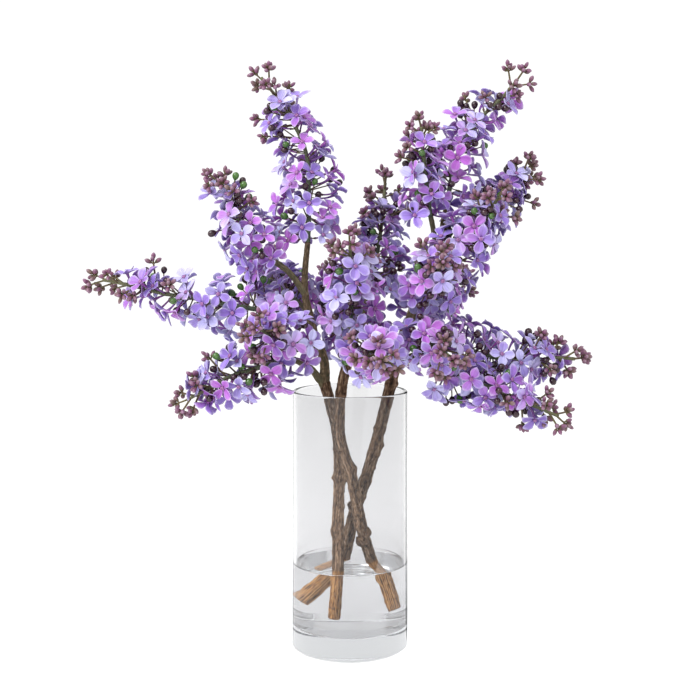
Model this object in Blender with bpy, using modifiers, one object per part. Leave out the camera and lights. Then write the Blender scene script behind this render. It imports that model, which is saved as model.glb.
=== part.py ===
"""Three cut lilac stems standing in clear water in a straight glass vase.

Metres, +Z up. The origin is the middle of the vase's foot, and -Y is the side that faces the viewer.
Each woody stem forks into twigs, and each twig carries flower heads: a green rachis with open
florets low down, round berries between them, and clusters of closed buds towards the tip.
"""

import math
import random

import bmesh
import bpy
import numpy as np
from mathutils import Matrix, Vector

MM = 0.001
UP = Vector((0, 0, 1))
SEAT_GAP = 0.3 * MM

# Glass vase, a turned cylinder with a heavy foot.
VASE_RADIUS = 50 * MM
VASE_HEIGHT = 220 * MM
VASE_WALL = 3 * MM
VASE_FOOT = 19 * MM
VASE_EDGE = 1.2 * MM
VASE_SIDES = 28

# Clear water that the stems stand in.
WATER_LEVEL = 71 * MM
WATER_RADIUS = VASE_RADIUS - VASE_WALL - SEAT_GAP
WATER_EDGE = 1.5 * MM
HOLE_GAP = 1.3 * SEAT_GAP

# Woody stems and twigs.
STEM_ROUNDNESS = 2
TWIG_ROUNDNESS = 1
STEM_STEP = 13 * MM
TWIG_STEP = 20 * MM
NODE_SPACING = 34 * MM
NODE_SWELL = 0.13
KNOT_RADIUS = 4.2 * MM
KNOT_SHARES = (0.36, 0.58)
KNOT_FIRST_TURN = 0.7
KNOT_TURN = 2.4
KNOT_OFFSET = 0.75
NODE_WIDTH = 5 * MM

# Flower heads.
RACHIS_RADIUS = 1.9 * MM
RACHIS_TIP_RADIUS = 1.0 * MM
CORE_RADIUS = 8 * MM
CORE_END = 0.9
RACHIS_STEPS = 6
RACHIS_SEAT = 3 * MM
FLORET_REACH = 29 * MM
FLORET_RADIUS = 16 * MM
FLORET_ZONE = 0.78
THROAT_RADIUS = 1.5 * MM
THROAT_DEPTH = 1.9 * MM
ROOT_RADIUS = 0.9 * MM
BERRY_RADIUS = 2.9 * MM
BERRY_STALK = 0.8 * MM
BUD_RADIUS = 2.4 * MM
BUD_SEAT = 1.8 * MM
BRANCHLET_RADIUS = 1.15 * MM
CLUSTER_RADIUS = 7.5 * MM
CLUSTER_SEATS = ((0.98, 78, 12 * MM), (0.86, 48, 15 * MM), (0.75, 38, 18 * MM))
BERRY_SEATS = ((0.2, 35, 18 * MM), (0.5, 35, 18 * MM))
FLORET_START = 0.03
HEAD_TAPER = 0.4
HEAD_TURN = 1.7
CLUSTER_TURN = 0.8
BERRY_TURN = 2.1
TWIG_CLEARANCE = 0.6 * MM
STEM_CLEARANCE = 1.2
GOLDEN_ANGLE = math.radians(137.5)
BOUQUET_MIDDLE = Vector((0, 0, 290)) * MM
TRIES = 14
SEED = 41


def points(*rows):
    """Points given in millimetres, as vectors in metres."""
    return [Vector(row) * MM for row in rows]


# The part of each stem that stands in the vase, from its cut end up, with its radius there.
STEMS = {
    "stem_left": {
        "route": points((-12, -30, 33), (-10, -34, 71), (-10, -18, 110), (-9, -8, 143),
                        (-10, -4, 176), (-15, -3, 202), (-22, -3, 227)),
        "radii": (4.7 * MM, 4.6 * MM),
    },
    "stem_centre": {
        "route": points((31, -6, 33), (19, 0, 71), (10, -12, 103), (2, -20, 145),
                        (-8, -20, 179), (-9, -13, 205), (-6, -10, 230), (-2, -8, 246)),
        "radii": (5.0 * MM, 4.4 * MM),
    },
    "stem_right": {
        "route": points((-28, 17, 35), (-6, 12, 71), (2, 8, 105), (13, 2, 141),
                        (23, -2, 176), (31, -5, 208), (38, -6, 237), (50, -4, 278)),
        "radii": (5.2 * MM, 4.8 * MM),
    },
}

# Each shoot leaves a stem or an older twig: a woody twig first, then the rachis of its flower head.
# "florets" counts the large florets on the rachis, and "girth" scales how far they reach out.
SHOOTS = {
    "head_top_left": {
        "stem": "stem_left", "florets": 10, "girth": 1.05,
        "twig": points((-22, -3, 225), (-21, -3, 240), (-28, -4, 260), (-34, -5, 280), (-39, -5, 305),
                       (-39, 0, 324)),
        "rachis": points((-37, 4, 348), (-36, 6, 382), (-38, 4, 425), (-46, 0, 446), (-62, -3, 472),
                         (-77, -6, 491)),
        "radii": (4.3 * MM, 2.4 * MM),
    },
    "head_upper_left": {
        "stem": "stem_left", "florets": 8, "girth": 0.9,
        "twig": points((-38, -5, 302), (-50, -8, 320), (-60, -11, 328)),
        "rachis": points((-70, -14, 336), (-83, -22, 350), (-92, -28, 364), (-101, -32, 386),
                         (-112, -34, 400)),
        "radii": (3.0 * MM, 2.3 * MM),
    },
    "head_far_left": {
        "stem": "stem_left", "florets": 10, "girth": 0.95,
        "twig": points((-33, -5, 275), (-45, -7, 283)),
        "rachis": points((-58, -9, 287), (-100, -14, 294), (-130, -18, 300), (-155, -22, 304),
                         (-182, -26, 311), (-209, -30, 317)),
        "radii": (2.9 * MM, 2.2 * MM),
    },
    "head_low_left": {
        "stem": "stem_left", "florets": 10, "girth": 0.9,
        "twig": points((-22, -3, 224), (-31, -8, 235), (-39, -14, 245)),
        "rachis": points((-51, -25, 250), (-77, -45, 244), (-99, -52, 238), (-116, -56, 229),
                         (-134, -58, 219)),
        "radii": (3.4 * MM, 2.3 * MM),
    },
    "head_front_left": {
        "stem": "stem_left", "florets": 8, "girth": 0.9,
        "twig": points((-28, -4, 258), (-36, -18, 262)),
        "rachis": points((-44, -32, 265), (-56, -52, 270), (-66, -72, 275), (-72, -88, 280)),
        "radii": (2.7 * MM, 2.2 * MM),
    },
    "head_back_left": {
        "stem": "stem_left", "florets": 8, "girth": 0.95,
        "twig": points((-36, -5, 288), (-40, 10, 291)),
        "rachis": points((-45, 22, 294), (-58, 50, 302), (-72, 80, 312), (-86, 112, 326)),
        "radii": (2.8 * MM, 2.2 * MM),
    },
    "head_centre": {
        "stem": "stem_centre", "florets": 8, "girth": 0.95,
        "twig": points((-2, -8, 244), (-1, -12, 262)),
        "rachis": points((0, -22, 277), (1, -40, 297), (1, -60, 322), (0, -78, 348)),
        "radii": (3.2 * MM, 2.3 * MM),
    },
    "head_low_centre": {
        "stem": "stem_centre", "florets": 8, "girth": 0.9,
        "twig": points((-3, -8, 242), (4, -20, 252)),
        "rachis": points((10, -32, 256), (17, -58, 259), (22, -86, 260), (26, -112, 259)),
        "radii": (2.8 * MM, 2.2 * MM),
    },
    "head_centre_top": {
        "stem": "stem_centre", "florets": 10, "girth": 0.95,
        "twig": points((-2, -8, 243), (3, 2, 258), (10, 16, 280)),
        "rachis": points((17, 27, 303), (24, 36, 335), (29, 42, 368), (32, 46, 402)),
        "radii": (3.2 * MM, 2.3 * MM),
    },
    "head_back_centre": {
        "stem": "stem_centre", "florets": 8, "girth": 0.95,
        "twig": points((-3, -9, 240), (-4, 8, 256)),
        "rachis": points((-5, 24, 266), (-8, 52, 281), (-11, 84, 300), (-14, 114, 322)),
        "radii": (2.9 * MM, 2.2 * MM),
    },
    "head_top_right": {
        "stem": "stem_right", "florets": 10, "girth": 0.95,
        "twig": points((50, -4, 275), (61, 0, 307), (74, 1, 334), (81, 7, 362)),
        "rachis": points((85, 10, 381), (90, 12, 408), (97, 12, 432), (118, 8, 461), (134, 4, 476),
                         (146, 0, 490)),
        "radii": (4.2 * MM, 2.3 * MM),
    },
    "head_upper_right": {
        "stem": "stem_right", "florets": 7, "girth": 0.68,
        "twig": points((76, 2, 342), (72, -8, 358)),
        "rachis": points((69, -14, 371), (65, -22, 399), (62, -28, 424), (60, -31, 446)),
        "radii": (2.5 * MM, 2.1 * MM),
    },
    "head_right": {
        "stem": "stem_right", "florets": 8, "girth": 0.9,
        "twig": points((75, 1, 337), (95, 13, 350)),
        "rachis": points((106, 20, 361), (127, 26, 382), (143, 28, 399), (157, 30, 413)),
        "radii": (2.7 * MM, 2.2 * MM),
    },
    "head_front_right": {
        "stem": "stem_right", "florets": 8, "girth": 0.9,
        "twig": points((63, 0, 311), (78, -10, 319)),
        "rachis": points((87, -20, 326), (91, -32, 343), (101, -44, 357), (111, -52, 369),
                         (123, -60, 387)),
        "radii": (2.7 * MM, 2.2 * MM),
    },
    "head_far_right": {
        "stem": "stem_right", "florets": 10, "girth": 0.95,
        "twig": points((39, -6, 240), (52, -7, 249), (69, -8, 255)),
        "rachis": points((90, -10, 258), (125, -18, 250), (150, -20, 247), (172, -20, 250),
                         (192, -20, 249)),
        "radii": (3.6 * MM, 2.3 * MM),
    },
    "head_drooping_right": {
        "stem": "stem_right", "florets": 7, "girth": 0.85,
        "twig": points((52, -7, 249), (62, -18, 246)),
        "rachis": points((72, -28, 243), (100, -44, 234), (130, -54, 223), (152, -58, 214),
                         (171, -60, 206)),
        "radii": (2.7 * MM, 2.2 * MM),
    },
    "head_low_right": {
        "stem": "stem_right", "florets": 8, "girth": 0.9,
        "twig": points((44, -5, 258), (53, -16, 263)),
        "rachis": points((59, -28, 266), (66, -52, 265), (72, -74, 263), (78, -96, 259)),
        "radii": (2.8 * MM, 2.2 * MM),
    },
    "head_middle_right": {
        "stem": "stem_right", "florets": 8, "girth": 0.9,
        "twig": points((57, -1, 297), (63, -16, 304)),
        "rachis": points((66, -28, 308), (69, -48, 316), (71, -68, 325), (72, -88, 334)),
        "radii": (2.7 * MM, 2.2 * MM),
    },
    "head_back_right": {
        "stem": "stem_right", "florets": 8, "girth": 0.95,
        "twig": points((51, -4, 281), (56, 12, 288)),
        "rachis": points((62, 26, 292), (76, 56, 298), (90, 88, 304), (103, 118, 312)),
        "radii": (2.9 * MM, 2.2 * MM),
    },
}


def catmull_rom(a, b, c, d, t):
    """A point between b and c on the smooth curve through a, b, c and d."""
    return 0.5 * (2 * b + (c - a) * t + (2 * a - 5 * b + 4 * c - d) * t * t
                  + (3 * b - a - 3 * c + d) * t * t * t)


def smooth(controls, steps=8):
    """A fine polyline on the smooth curve through the control points."""
    padded = [2 * controls[0] - controls[1], *controls, 2 * controls[-1] - controls[-2]]
    line = []
    for i in range(len(controls) - 1):
        for k in range(steps):
            line.append(catmull_rom(*padded[i:i + 4], k / steps))
    return line + [controls[-1].copy()]


class Line:
    """A polyline that can be read at any share of its length."""

    def __init__(self, vertices):
        self.vertices = vertices
        steps = [(b - a).length for a, b in zip(vertices, vertices[1:])]
        self.marks = [sum(steps[:i]) for i in range(len(vertices))]
        self.length = self.marks[-1]

    def at(self, share):
        """The point and the direction at this share of the length."""
        wanted = min(max(share, 0.0), 1.0) * self.length
        i = 0
        while i < len(self.marks) - 2 and self.marks[i + 1] < wanted:
            i += 1
        a, b = self.vertices[i], self.vertices[i + 1]
        part = (wanted - self.marks[i]) / max(self.marks[i + 1] - self.marks[i], 1e-9)
        return a.lerp(b, part), (b - a).normalized()

    def even(self, count):
        """count + 1 points evenly along the line."""
        return [self.at(i / count)[0] for i in range(count + 1)]


def shoot_lines(shoot):
    """The twig's line and the rachis's line, two stretches of one smooth curve that meet end to end."""
    controls = shoot["twig"] + shoot["rachis"]
    steps = 8
    curve = smooth(controls, steps)
    split = len(shoot["twig"]) * steps
    twig = coarse(Line(curve[:split + 1]), TWIG_STEP)
    seat, ahead = twig.at(1)
    start = seat + ahead * SEAT_GAP
    rachis = Line(curve[split:]).even(RACHIS_STEPS)
    return twig, Line([start, start + ahead * RACHIS_SEAT] + rachis[1:])


def coarse(line, step):
    """The line as even chords of about this step."""
    return Line(line.even(max(2, round(line.length / step))))


def across(direction):
    """Two directions at right angles to this one and to each other."""
    side = direction.cross(UP if abs(direction.z) < 0.9 else Vector((0, 1, 0))).normalized()
    return side, direction.cross(side).normalized()


class Thicket:
    """Balls that stand for all that has grown so far, so that what grows next keeps clear of it."""

    def __init__(self):
        self.balls = np.zeros((0, 4))
        self.owners = np.zeros(0, int)
        self.joined = np.zeros(0, bool)

    def add(self, balls, owner, joined=False):
        """Takes the balls in for this node. Where joined, what else grows on the node may cross them."""
        self.balls = np.vstack([self.balls, balls])
        self.owners = np.append(self.owners, [owner] * len(balls))
        self.joined = np.append(self.joined, [joined] * len(balls))

    def clear(self, balls, owner, own_share=1.0):
        """True if the balls touch no other node's, and cross their own node's by less than 1 - own_share."""
        share = np.where(self.owners == owner, np.where(self.joined, 0, own_share), 1)
        for x, y, z, radius in balls:
            reach = (self.balls[:, 3] + radius) * share
            if (((self.balls[:, :3] - (x, y, z)) ** 2).sum(axis=1) < reach * reach).any():
                return False
        return True


def balls_along(start, end, radius):
    """Balls of this radius from start to end."""
    count = max(1, math.ceil((end - start).length / (1.5 * radius)))
    return [(*start.lerp(end, i / count), radius) for i in range(count + 1)]


def floret_balls(floret):
    """Four balls for each petal, one for the middle, and small ones down the outer half of the tube."""
    side, other = floret["side"], floret["facing"].cross(floret["side"])
    radius = floret["radius"]
    balls = [(*floret["centre"], 0.2 * radius)]
    for k in range(4):
        for share, turn in ((0.4, 0), (0.82, 0), (0.66, 0.38), (0.66, -0.38)):
            angle = k * math.pi / 2 + turn
            flat = (side * math.cos(angle) + other * math.sin(angle)) * share * radius
            lift = floret["facing"] * floret["cup"] * share * share * radius
            balls.append((*(floret["centre"] + flat + lift), 0.17 * radius))
    return balls + balls_along(floret["centre"], floret["root"].lerp(floret["centre"], 0.55), 1.7 * MM)


def draw_direction(rng):
    return Vector([rng.uniform(-1, 1) for _ in range(3)])


def place_floret(head, share, turn, reach, rng, thicket, own_share):
    """One floret on the rachis, turned and shortened until it is clear, or None."""
    for attempt in range(TRIES):
        place = share + rng.uniform(-0.03, 0.03)
        root, ahead = head["line"].at(place)
        side, other = across(ahead)
        angle = turn + rng.uniform(-0.25, 0.25) * (1 + 0.3 * attempt)
        outward = side * math.cos(angle) + other * math.sin(angle)
        lean = math.radians(-5 + 50 * place / FLORET_ZONE + rng.uniform(-12, 12))
        arm = outward * math.cos(lean) + ahead * math.sin(lean)
        centre = root + arm * reach * rng.uniform(0.86, 1.06) * (1 - 0.03 * attempt)
        away = (centre - BOUQUET_MIDDLE).normalized()
        facing = (arm + away * 0.45 + UP * 0.1 + draw_direction(rng) * 0.32).normalized()
        roll = rng.uniform(0, math.pi / 2)
        first, second = across(facing)
        floret = {
            "centre": centre, "root": root, "facing": facing,
            "side": first * math.cos(roll) + second * math.sin(roll),
            "radius": FLORET_RADIUS * rng.uniform(0.88, 1.07),
            "cup": rng.uniform(-0.02, 0.2),
        }
        balls = floret_balls(floret)
        if thicket.clear(balls, head["number"], own_share):
            thicket.add(balls, head["number"])
            return floret
    return None


def place_stalk(head, share, turn, lean, reach, tip_radius, rng, thicket, own_share):
    """A straight stalk from the rachis to a round end, or None where it isn't clear."""
    for attempt in range(TRIES):
        root, ahead = head["line"].at(share + rng.uniform(-0.02, 0.02))
        side, other = across(ahead)
        angle = turn + rng.uniform(-0.3, 0.3) * (1 + 0.3 * attempt)
        tilt = math.radians(lean + rng.uniform(-8, 8))
        arm = (side * math.cos(angle) + other * math.sin(angle)) * math.cos(tilt) + ahead * math.sin(tilt)
        end = root + arm * reach * rng.uniform(0.85, 1.1) * (1 - 0.03 * attempt)
        balls = balls_along(root.lerp(end, 0.6), end, 1.1 * MM) + [(*end, tip_radius)]
        if thicket.clear(balls, head["number"], own_share):
            thicket.add(balls, head["number"])
            return {"root": root, "end": end, "along": arm}
    return None


def place_cluster(head, share, turn, lean, reach, rng, thicket):
    """A branchlet that ends in four closed buds, or None where it isn't clear."""
    stalk = place_stalk(head, share, turn, lean, reach, CLUSTER_RADIUS, rng, thicket, 0.7)
    if stalk:
        stalk["spin"] = rng.uniform(0, 2 * math.pi)
        stalk["lengths"] = [rng.uniform(6.6, 8.4) * MM for _ in range(4)]
    return stalk


def grow(heads, thicket):
    """Places the florets, bud clusters and berries, one on each head in turn so that none is crowded out."""
    rng = random.Random(SEED)
    for i in range(max(head["count"] for head in heads)):
        for head in heads:
            if i >= head["count"]:
                continue
            share = FLORET_START + (FLORET_ZONE - FLORET_START) * (i + 0.5) / head["count"]
            reach = FLORET_REACH * head["girth"] * (1 - HEAD_TAPER * share / FLORET_ZONE)
            turn = head["phase"] + i * GOLDEN_ANGLE
            floret = place_floret(head, share, turn, reach, rng, thicket, 1.0)
            if floret:
                head["florets"].append(floret)
    for i, (share, lean, reach) in enumerate(CLUSTER_SEATS):
        for head in heads:
            turn = head["phase"] + CLUSTER_TURN + i * GOLDEN_ANGLE
            cluster = place_cluster(head, share, turn, lean, reach, rng, thicket)
            if cluster:
                head["clusters"].append(cluster)
    for i, (share, lean, reach) in enumerate(BERRY_SEATS):
        for head in heads:
            turn = head["phase"] + BERRY_TURN + i * GOLDEN_ANGLE
            berry = place_stalk(head, share, turn, lean, reach, BERRY_RADIUS, rng, thicket, 0.8)
            if berry:
                head["berries"].append(berry)


def new_object(name, mesh):
    obj = bpy.data.objects.new(name, mesh)
    bpy.context.scene.collection.objects.link(obj)
    return obj


def remove(obj):
    bpy.data.objects.remove(obj, do_unlink=True)


def material(name, colour, roughness, alpha=1.0, transmission=0.0, ior=1.5):
    """A plain finish of the colour that the piece shows."""
    made = bpy.data.materials.new(name)
    made.use_nodes = True
    shader = made.node_tree.nodes["Principled BSDF"]
    shader.inputs["Base Color"].default_value = (*colour, 1)
    shader.inputs["Roughness"].default_value = roughness
    shader.inputs["Metallic"].default_value = 0
    shader.inputs["Alpha"].default_value = alpha
    shader.inputs["Transmission Weight"].default_value = transmission
    shader.inputs["IOR"].default_value = ior
    made.diffuse_color = (*colour, alpha)
    return made


def mesh_of(obj, weld=0.00001):
    """A new mesh with the object's modifiers or bevel applied, its caps welded."""
    bpy.context.view_layer.update()
    evaluated = obj.evaluated_get(bpy.context.evaluated_depsgraph_get())
    mesh = bpy.data.meshes.new_from_object(evaluated)
    bm = bmesh.new()
    bm.from_mesh(mesh)
    bmesh.ops.remove_doubles(bm, verts=bm.verts, dist=weld)
    bmesh.ops.recalc_face_normals(bm, faces=bm.faces)
    bm.to_mesh(mesh)
    bm.free()
    return mesh


def tube(name, line, radii, resolution):
    """A bevelled poly curve along the points, as a mesh object, with a radius for each point."""
    curve = bpy.data.curves.new(name + "_curve", "CURVE")
    curve.dimensions = "3D"
    curve.bevel_mode = "ROUND"
    curve.bevel_depth = 1.0 * MM
    curve.bevel_resolution = resolution
    curve.use_fill_caps = True
    spline = curve.splines.new("POLY")
    spline.points.add(len(line) - 1)
    for point, place, radius in zip(spline.points, line, radii):
        point.co = (*place, 1)
        point.radius = radius / MM
    guide = new_object(name + "_guide", curve)
    made = new_object(name, mesh_of(guide))
    made.matrix_world = guide.matrix_world
    remove(guide)
    bpy.data.curves.remove(curve)
    return made


def boolean(obj, operation, others):
    """The object joined with, or cut by, the others, which are then removed."""
    group = bpy.data.collections.new(obj.name + "_operands")
    bpy.context.scene.collection.children.link(group)
    for other in others:
        group.objects.link(other)
    modifier = obj.modifiers.new("join", "BOOLEAN")
    modifier.operation = operation
    modifier.operand_type = "COLLECTION"
    modifier.collection = group
    modifier.solver = "EXACT"
    mesh = mesh_of(obj, 0.000001)
    obj.modifiers.clear()
    obj.data = mesh
    for other in others:
        remove(other)
    bpy.data.collections.remove(group)
    return obj


def turned(name, profile, sides):
    """A solid of revolution from its half profile, which runs down the outer side."""
    mesh = bpy.data.meshes.new(name)
    mesh.from_pydata([(x, 0, z) for x, z in profile], [(i, i + 1) for i in range(len(profile) - 1)], [])
    obj = new_object(name, mesh)
    screw = obj.modifiers.new("turn", "SCREW")
    screw.steps = screw.render_steps = sides
    screw.use_merge_vertices = True
    screw.merge_threshold = 0.00001
    screw.use_smooth_shade = True
    return obj


def quarter(centre_x, centre_z, radius, start, end, count=2):
    """Points on an arc of a profile, between two angles in degrees."""
    angles = [math.radians(start + (end - start) * i / count) for i in range(count + 1)]
    return [(centre_x + radius * math.cos(a), centre_z + radius * math.sin(a)) for a in angles]


def make_vase():
    inner = VASE_RADIUS - VASE_WALL
    rim = VASE_WALL / 2
    profile = [(0, VASE_FOOT), *quarter(inner - VASE_EDGE, VASE_FOOT + VASE_EDGE, VASE_EDGE, -90, 0)]
    profile += quarter(VASE_RADIUS - rim, VASE_HEIGHT - rim, rim, 180, 0, 4)
    profile += quarter(VASE_RADIUS - VASE_EDGE, VASE_EDGE, VASE_EDGE, 0, -90)
    vase = turned("vase", profile + [(0, 0)], VASE_SIDES)
    vase.data.materials.append(material("clear_glass", (0.93, 0.96, 0.97), 0.02, 0.3, 1.0, 1.5))
    return vase


def node_radius(distance, start, end, length):
    """The wood's radius at this distance from the foot: an even taper, swollen at each leaf node."""
    base = start + (end - start) * distance / length
    off = abs((distance / NODE_SPACING + 0.5) % 1 - 0.5) * NODE_SPACING
    return base * (1 + NODE_SWELL * math.exp(-(off / NODE_WIDTH) ** 2))


def wood(name, line, start, end, resolution, extra=0.0):
    """A length of wood along the line, swollen at its nodes."""
    radii = [node_radius(mark, start, end, line.length) + extra for mark in line.marks]
    return tube(name, line.vertices, radii, resolution)


def knot(name, centre, radius):
    """A pruned side shoot, healed over to a low lump on the bark."""
    mesh = bpy.data.meshes.new(name)
    bm = bmesh.new()
    bmesh.ops.create_icosphere(bm, subdivisions=1, radius=radius)
    bm.to_mesh(mesh)
    bm.free()
    obj = new_object(name, mesh)
    mesh.transform(Matrix.Translation(centre))
    return obj


def stem_line(name):
    return coarse(Line(smooth(STEMS[name]["route"])), STEM_STEP)


def make_stem(name, bark):
    """One woody stem: the trunk with its knots, and every twig that grows from it."""
    start, end = STEMS[name]["radii"]
    trunk_line = stem_line(name)
    trunk = wood(name, trunk_line, start, end, STEM_ROUNDNESS)
    grown = []
    for i, share in enumerate(KNOT_SHARES):
        place, ahead = trunk_line.at(share)
        side, other = across(ahead)
        turn = KNOT_TURN * i + KNOT_FIRST_TURN
        out = side * math.cos(turn) + other * math.sin(turn)
        grown.append(knot(f"{name}_knot_{i}", place + out * KNOT_OFFSET * start, KNOT_RADIUS))
    for head, shoot in SHOOTS.items():
        if shoot["stem"] == name:
            line, _ = shoot_lines(shoot)
            grown.append(wood(head + "_twig", line, *shoot["radii"], TWIG_ROUNDNESS))
    boolean(trunk, "UNION", grown)
    trunk.data.materials.append(bark)
    return trunk


def make_water():
    """The water, with a plain blind hole for each stem."""
    radius, low = WATER_RADIUS, VASE_FOOT + SEAT_GAP
    profile = [(0, WATER_LEVEL), (radius - WATER_EDGE, WATER_LEVEL), (radius, WATER_LEVEL + WATER_EDGE / 2)]
    profile += quarter(radius - WATER_EDGE, low + WATER_EDGE, WATER_EDGE, 0, -90)
    shape = turned("water", profile + [(0, low)], VASE_SIDES)
    mesh = mesh_of(shape)
    remove(shape)
    water = new_object("water", mesh)
    holes = []
    for name, stem in STEMS.items():
        start, end = stem["radii"]
        whole = stem_line(name)
        hole = wood(name + "_hole", whole, start, end, STEM_ROUNDNESS, HOLE_GAP)
        cut = whole.at(0)[1] * SEAT_GAP
        for vertex in hole.data.vertices:
            if (vertex.co - whole.at(0)[0]).length < start + 2 * SEAT_GAP:
                vertex.co -= cut
        holes.append(hole)
    boolean(water, "DIFFERENCE", holes)
    water.data.materials.append(material("still_water", (0.93, 0.96, 0.96), 0.02, 0.4, 1.0, 1.45))
    return water


# One petal's outline from its middle line to the next notch: angle in degrees, share of the floret's
# radius, and how far the edge is lifted or rolled back, as a share of that radius.
PETAL_TIP = (0, 1.0, -0.05)
PETAL_SHOULDERS = ((29, 0.76, 0.05), (61, 0.76, 0.05))
PETAL_NOTCH = (45, 0.32, 0.0)


def loft_floret(bm, floret):
    """Four petals round a throat, lofted down a tube whose root is sunk in the rachis."""
    centre, facing, side, size = (floret[k] for k in ("centre", "facing", "side", "radius"))
    other = facing.cross(side)

    def ring_point(middle, degrees, reach, lift, first, second):
        angle = math.radians(degrees)
        return bm.verts.new(middle + (first * math.cos(angle) + second * math.sin(angle)) * reach
                            + facing * lift)

    middle = bm.verts.new(centre - facing * 0.05 * size)
    rim = []
    for k in range(4):
        for degrees, share, lift in (PETAL_TIP, PETAL_SHOULDERS[0], PETAL_NOTCH, PETAL_SHOULDERS[1]):
            rise = (lift + floret["cup"] * share * share) * size
            rim.append(ring_point(centre, 90 * k + degrees, share * size, rise, side, other))
    neck = [ring_point(centre, 90 * k + 45, THROAT_RADIUS, -THROAT_DEPTH, side, other) for k in range(4)]
    down = (floret["root"] - centre).normalized()
    first = (side - down * side.dot(down)).normalized()
    second = -down.cross(first)
    root = [ring_point(floret["root"], 90 * k + 45, ROOT_RADIUS, 0, first, second) for k in range(4)]
    for i in range(16):
        bm.faces.new((middle, rim[i], rim[(i + 1) % 16]))
    for k in range(4):
        low, high = neck[k - 1], neck[k]
        tip, after, notch = rim[4 * k], rim[4 * k + 1], rim[4 * k + 2]
        before, notch_before = rim[4 * k - 1], rim[4 * k - 2]
        bm.faces.new((low, before, notch_before))
        bm.faces.new((low, tip, before))
        bm.faces.new((low, high, tip))
        bm.faces.new((high, after, tip))
        bm.faces.new((high, notch, after))
        bm.faces.new((high, low, root[k - 1], root[k]))
    bm.faces.new(root[::-1])


def loft_berry(bm, berry):
    """A round unopened flower on its stalk."""
    root, end, along = berry["root"], berry["end"], berry["along"]
    side, other = across(along)

    def ring(middle, size):
        return [bm.verts.new(middle + (side * x + other * y) * size)
                for x, y in ((1, 0), (0, 1), (-1, 0), (0, -1))]

    tip = bm.verts.new(end + along * 1.1 * BERRY_RADIUS)
    wide, thin = ring(end, BERRY_RADIUS), ring(end - along * 1.5 * BERRY_RADIUS, BERRY_STALK)
    foot = ring(root, BERRY_STALK)
    for k in range(4):
        bm.faces.new((tip, wide[k - 1], wide[k]))
        bm.faces.new((wide[k - 1], thin[k - 1], thin[k], wide[k]))
        bm.faces.new((thin[k - 1], foot[k - 1], foot[k], thin[k]))
    bm.faces.new(foot[::-1])


def solid(name, loft, grown):
    """A mesh object from one of the lofts."""
    bm = bmesh.new()
    loft(bm, grown)
    bmesh.ops.recalc_face_normals(bm, faces=bm.faces)
    mesh = bpy.data.meshes.new(name)
    bm.to_mesh(mesh)
    bm.free()
    return new_object(name, mesh)


def loft_cluster(bm, cluster):
    """A three-sided branchlet that opens into a bud on each side and one on its end."""
    along, spin = cluster["along"], cluster["spin"]
    side, other = across(along)

    def ring(middle):
        angles = [spin + 2 * math.pi * k / 3 for k in range(3)]
        return [bm.verts.new(middle + (side * math.cos(a) + other * math.sin(a)) * BRANCHLET_RADIUS)
                for a in angles]

    def bud(corners, aim, length):
        middle = sum((corner.co for corner in corners), Vector()) / len(corners)
        wide = []
        for corner in corners:
            out = corner.co - middle
            out = (out - aim * out.dot(aim)).normalized()
            wide.append(bm.verts.new(middle + aim * (length - 1.2 * BUD_RADIUS) + out * BUD_RADIUS))
        tip = bm.verts.new(middle + aim * length)
        for k in range(len(corners)):
            bm.faces.new((corners[k - 1], corners[k], wide[k], wide[k - 1]))
            bm.faces.new((wide[k - 1], wide[k], tip))

    foot, low, high = (ring(p) for p in (cluster["root"], cluster["end"] - along * BUD_SEAT, cluster["end"]))
    bm.faces.new(foot[::-1])
    for k in range(3):
        bm.faces.new((foot[k - 1], foot[k], low[k], low[k - 1]))
        corners = (low[k - 1], low[k], high[k], high[k - 1])
        middle = sum((corner.co for corner in corners), Vector()) / len(corners)
        out = middle - cluster["end"] + along * BUD_SEAT / 2
        bud(corners, (along * 0.62 + out.normalized()).normalized(), cluster["lengths"][k])
    bud(high, along, cluster["lengths"][3])


def core_radius(share):
    """The rachis's radius, thickened where the florets stand so closely that they hide it."""
    bare = RACHIS_RADIUS + (RACHIS_TIP_RADIUS - RACHIS_RADIUS) * share
    filled = max(0.0, math.sin(math.pi * min(share / CORE_END, 1.0) ** 0.6)) ** 0.5
    return bare + (CORE_RADIUS - bare) * filled


def make_head(head, petals):
    """One flower head: its rachis with the florets, berries and bud clusters that grow from it."""
    line, name = head["line"], head["name"]
    rachis = tube(name, line.vertices, [core_radius(mark / line.length) for mark in line.marks], 0)
    grown = [solid(f"{name}_floret_{i}", loft_floret, floret) for i, floret in enumerate(head["florets"])]
    grown += [solid(f"{name}_berry_{i}", loft_berry, berry) for i, berry in enumerate(head["berries"])]
    grown += [solid(f"{name}_cluster_{i}", loft_cluster, cluster)
              for i, cluster in enumerate(head["clusters"])]
    boolean(rachis, "UNION", grown)
    rachis.data.materials.append(petals)
    return rachis


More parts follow.
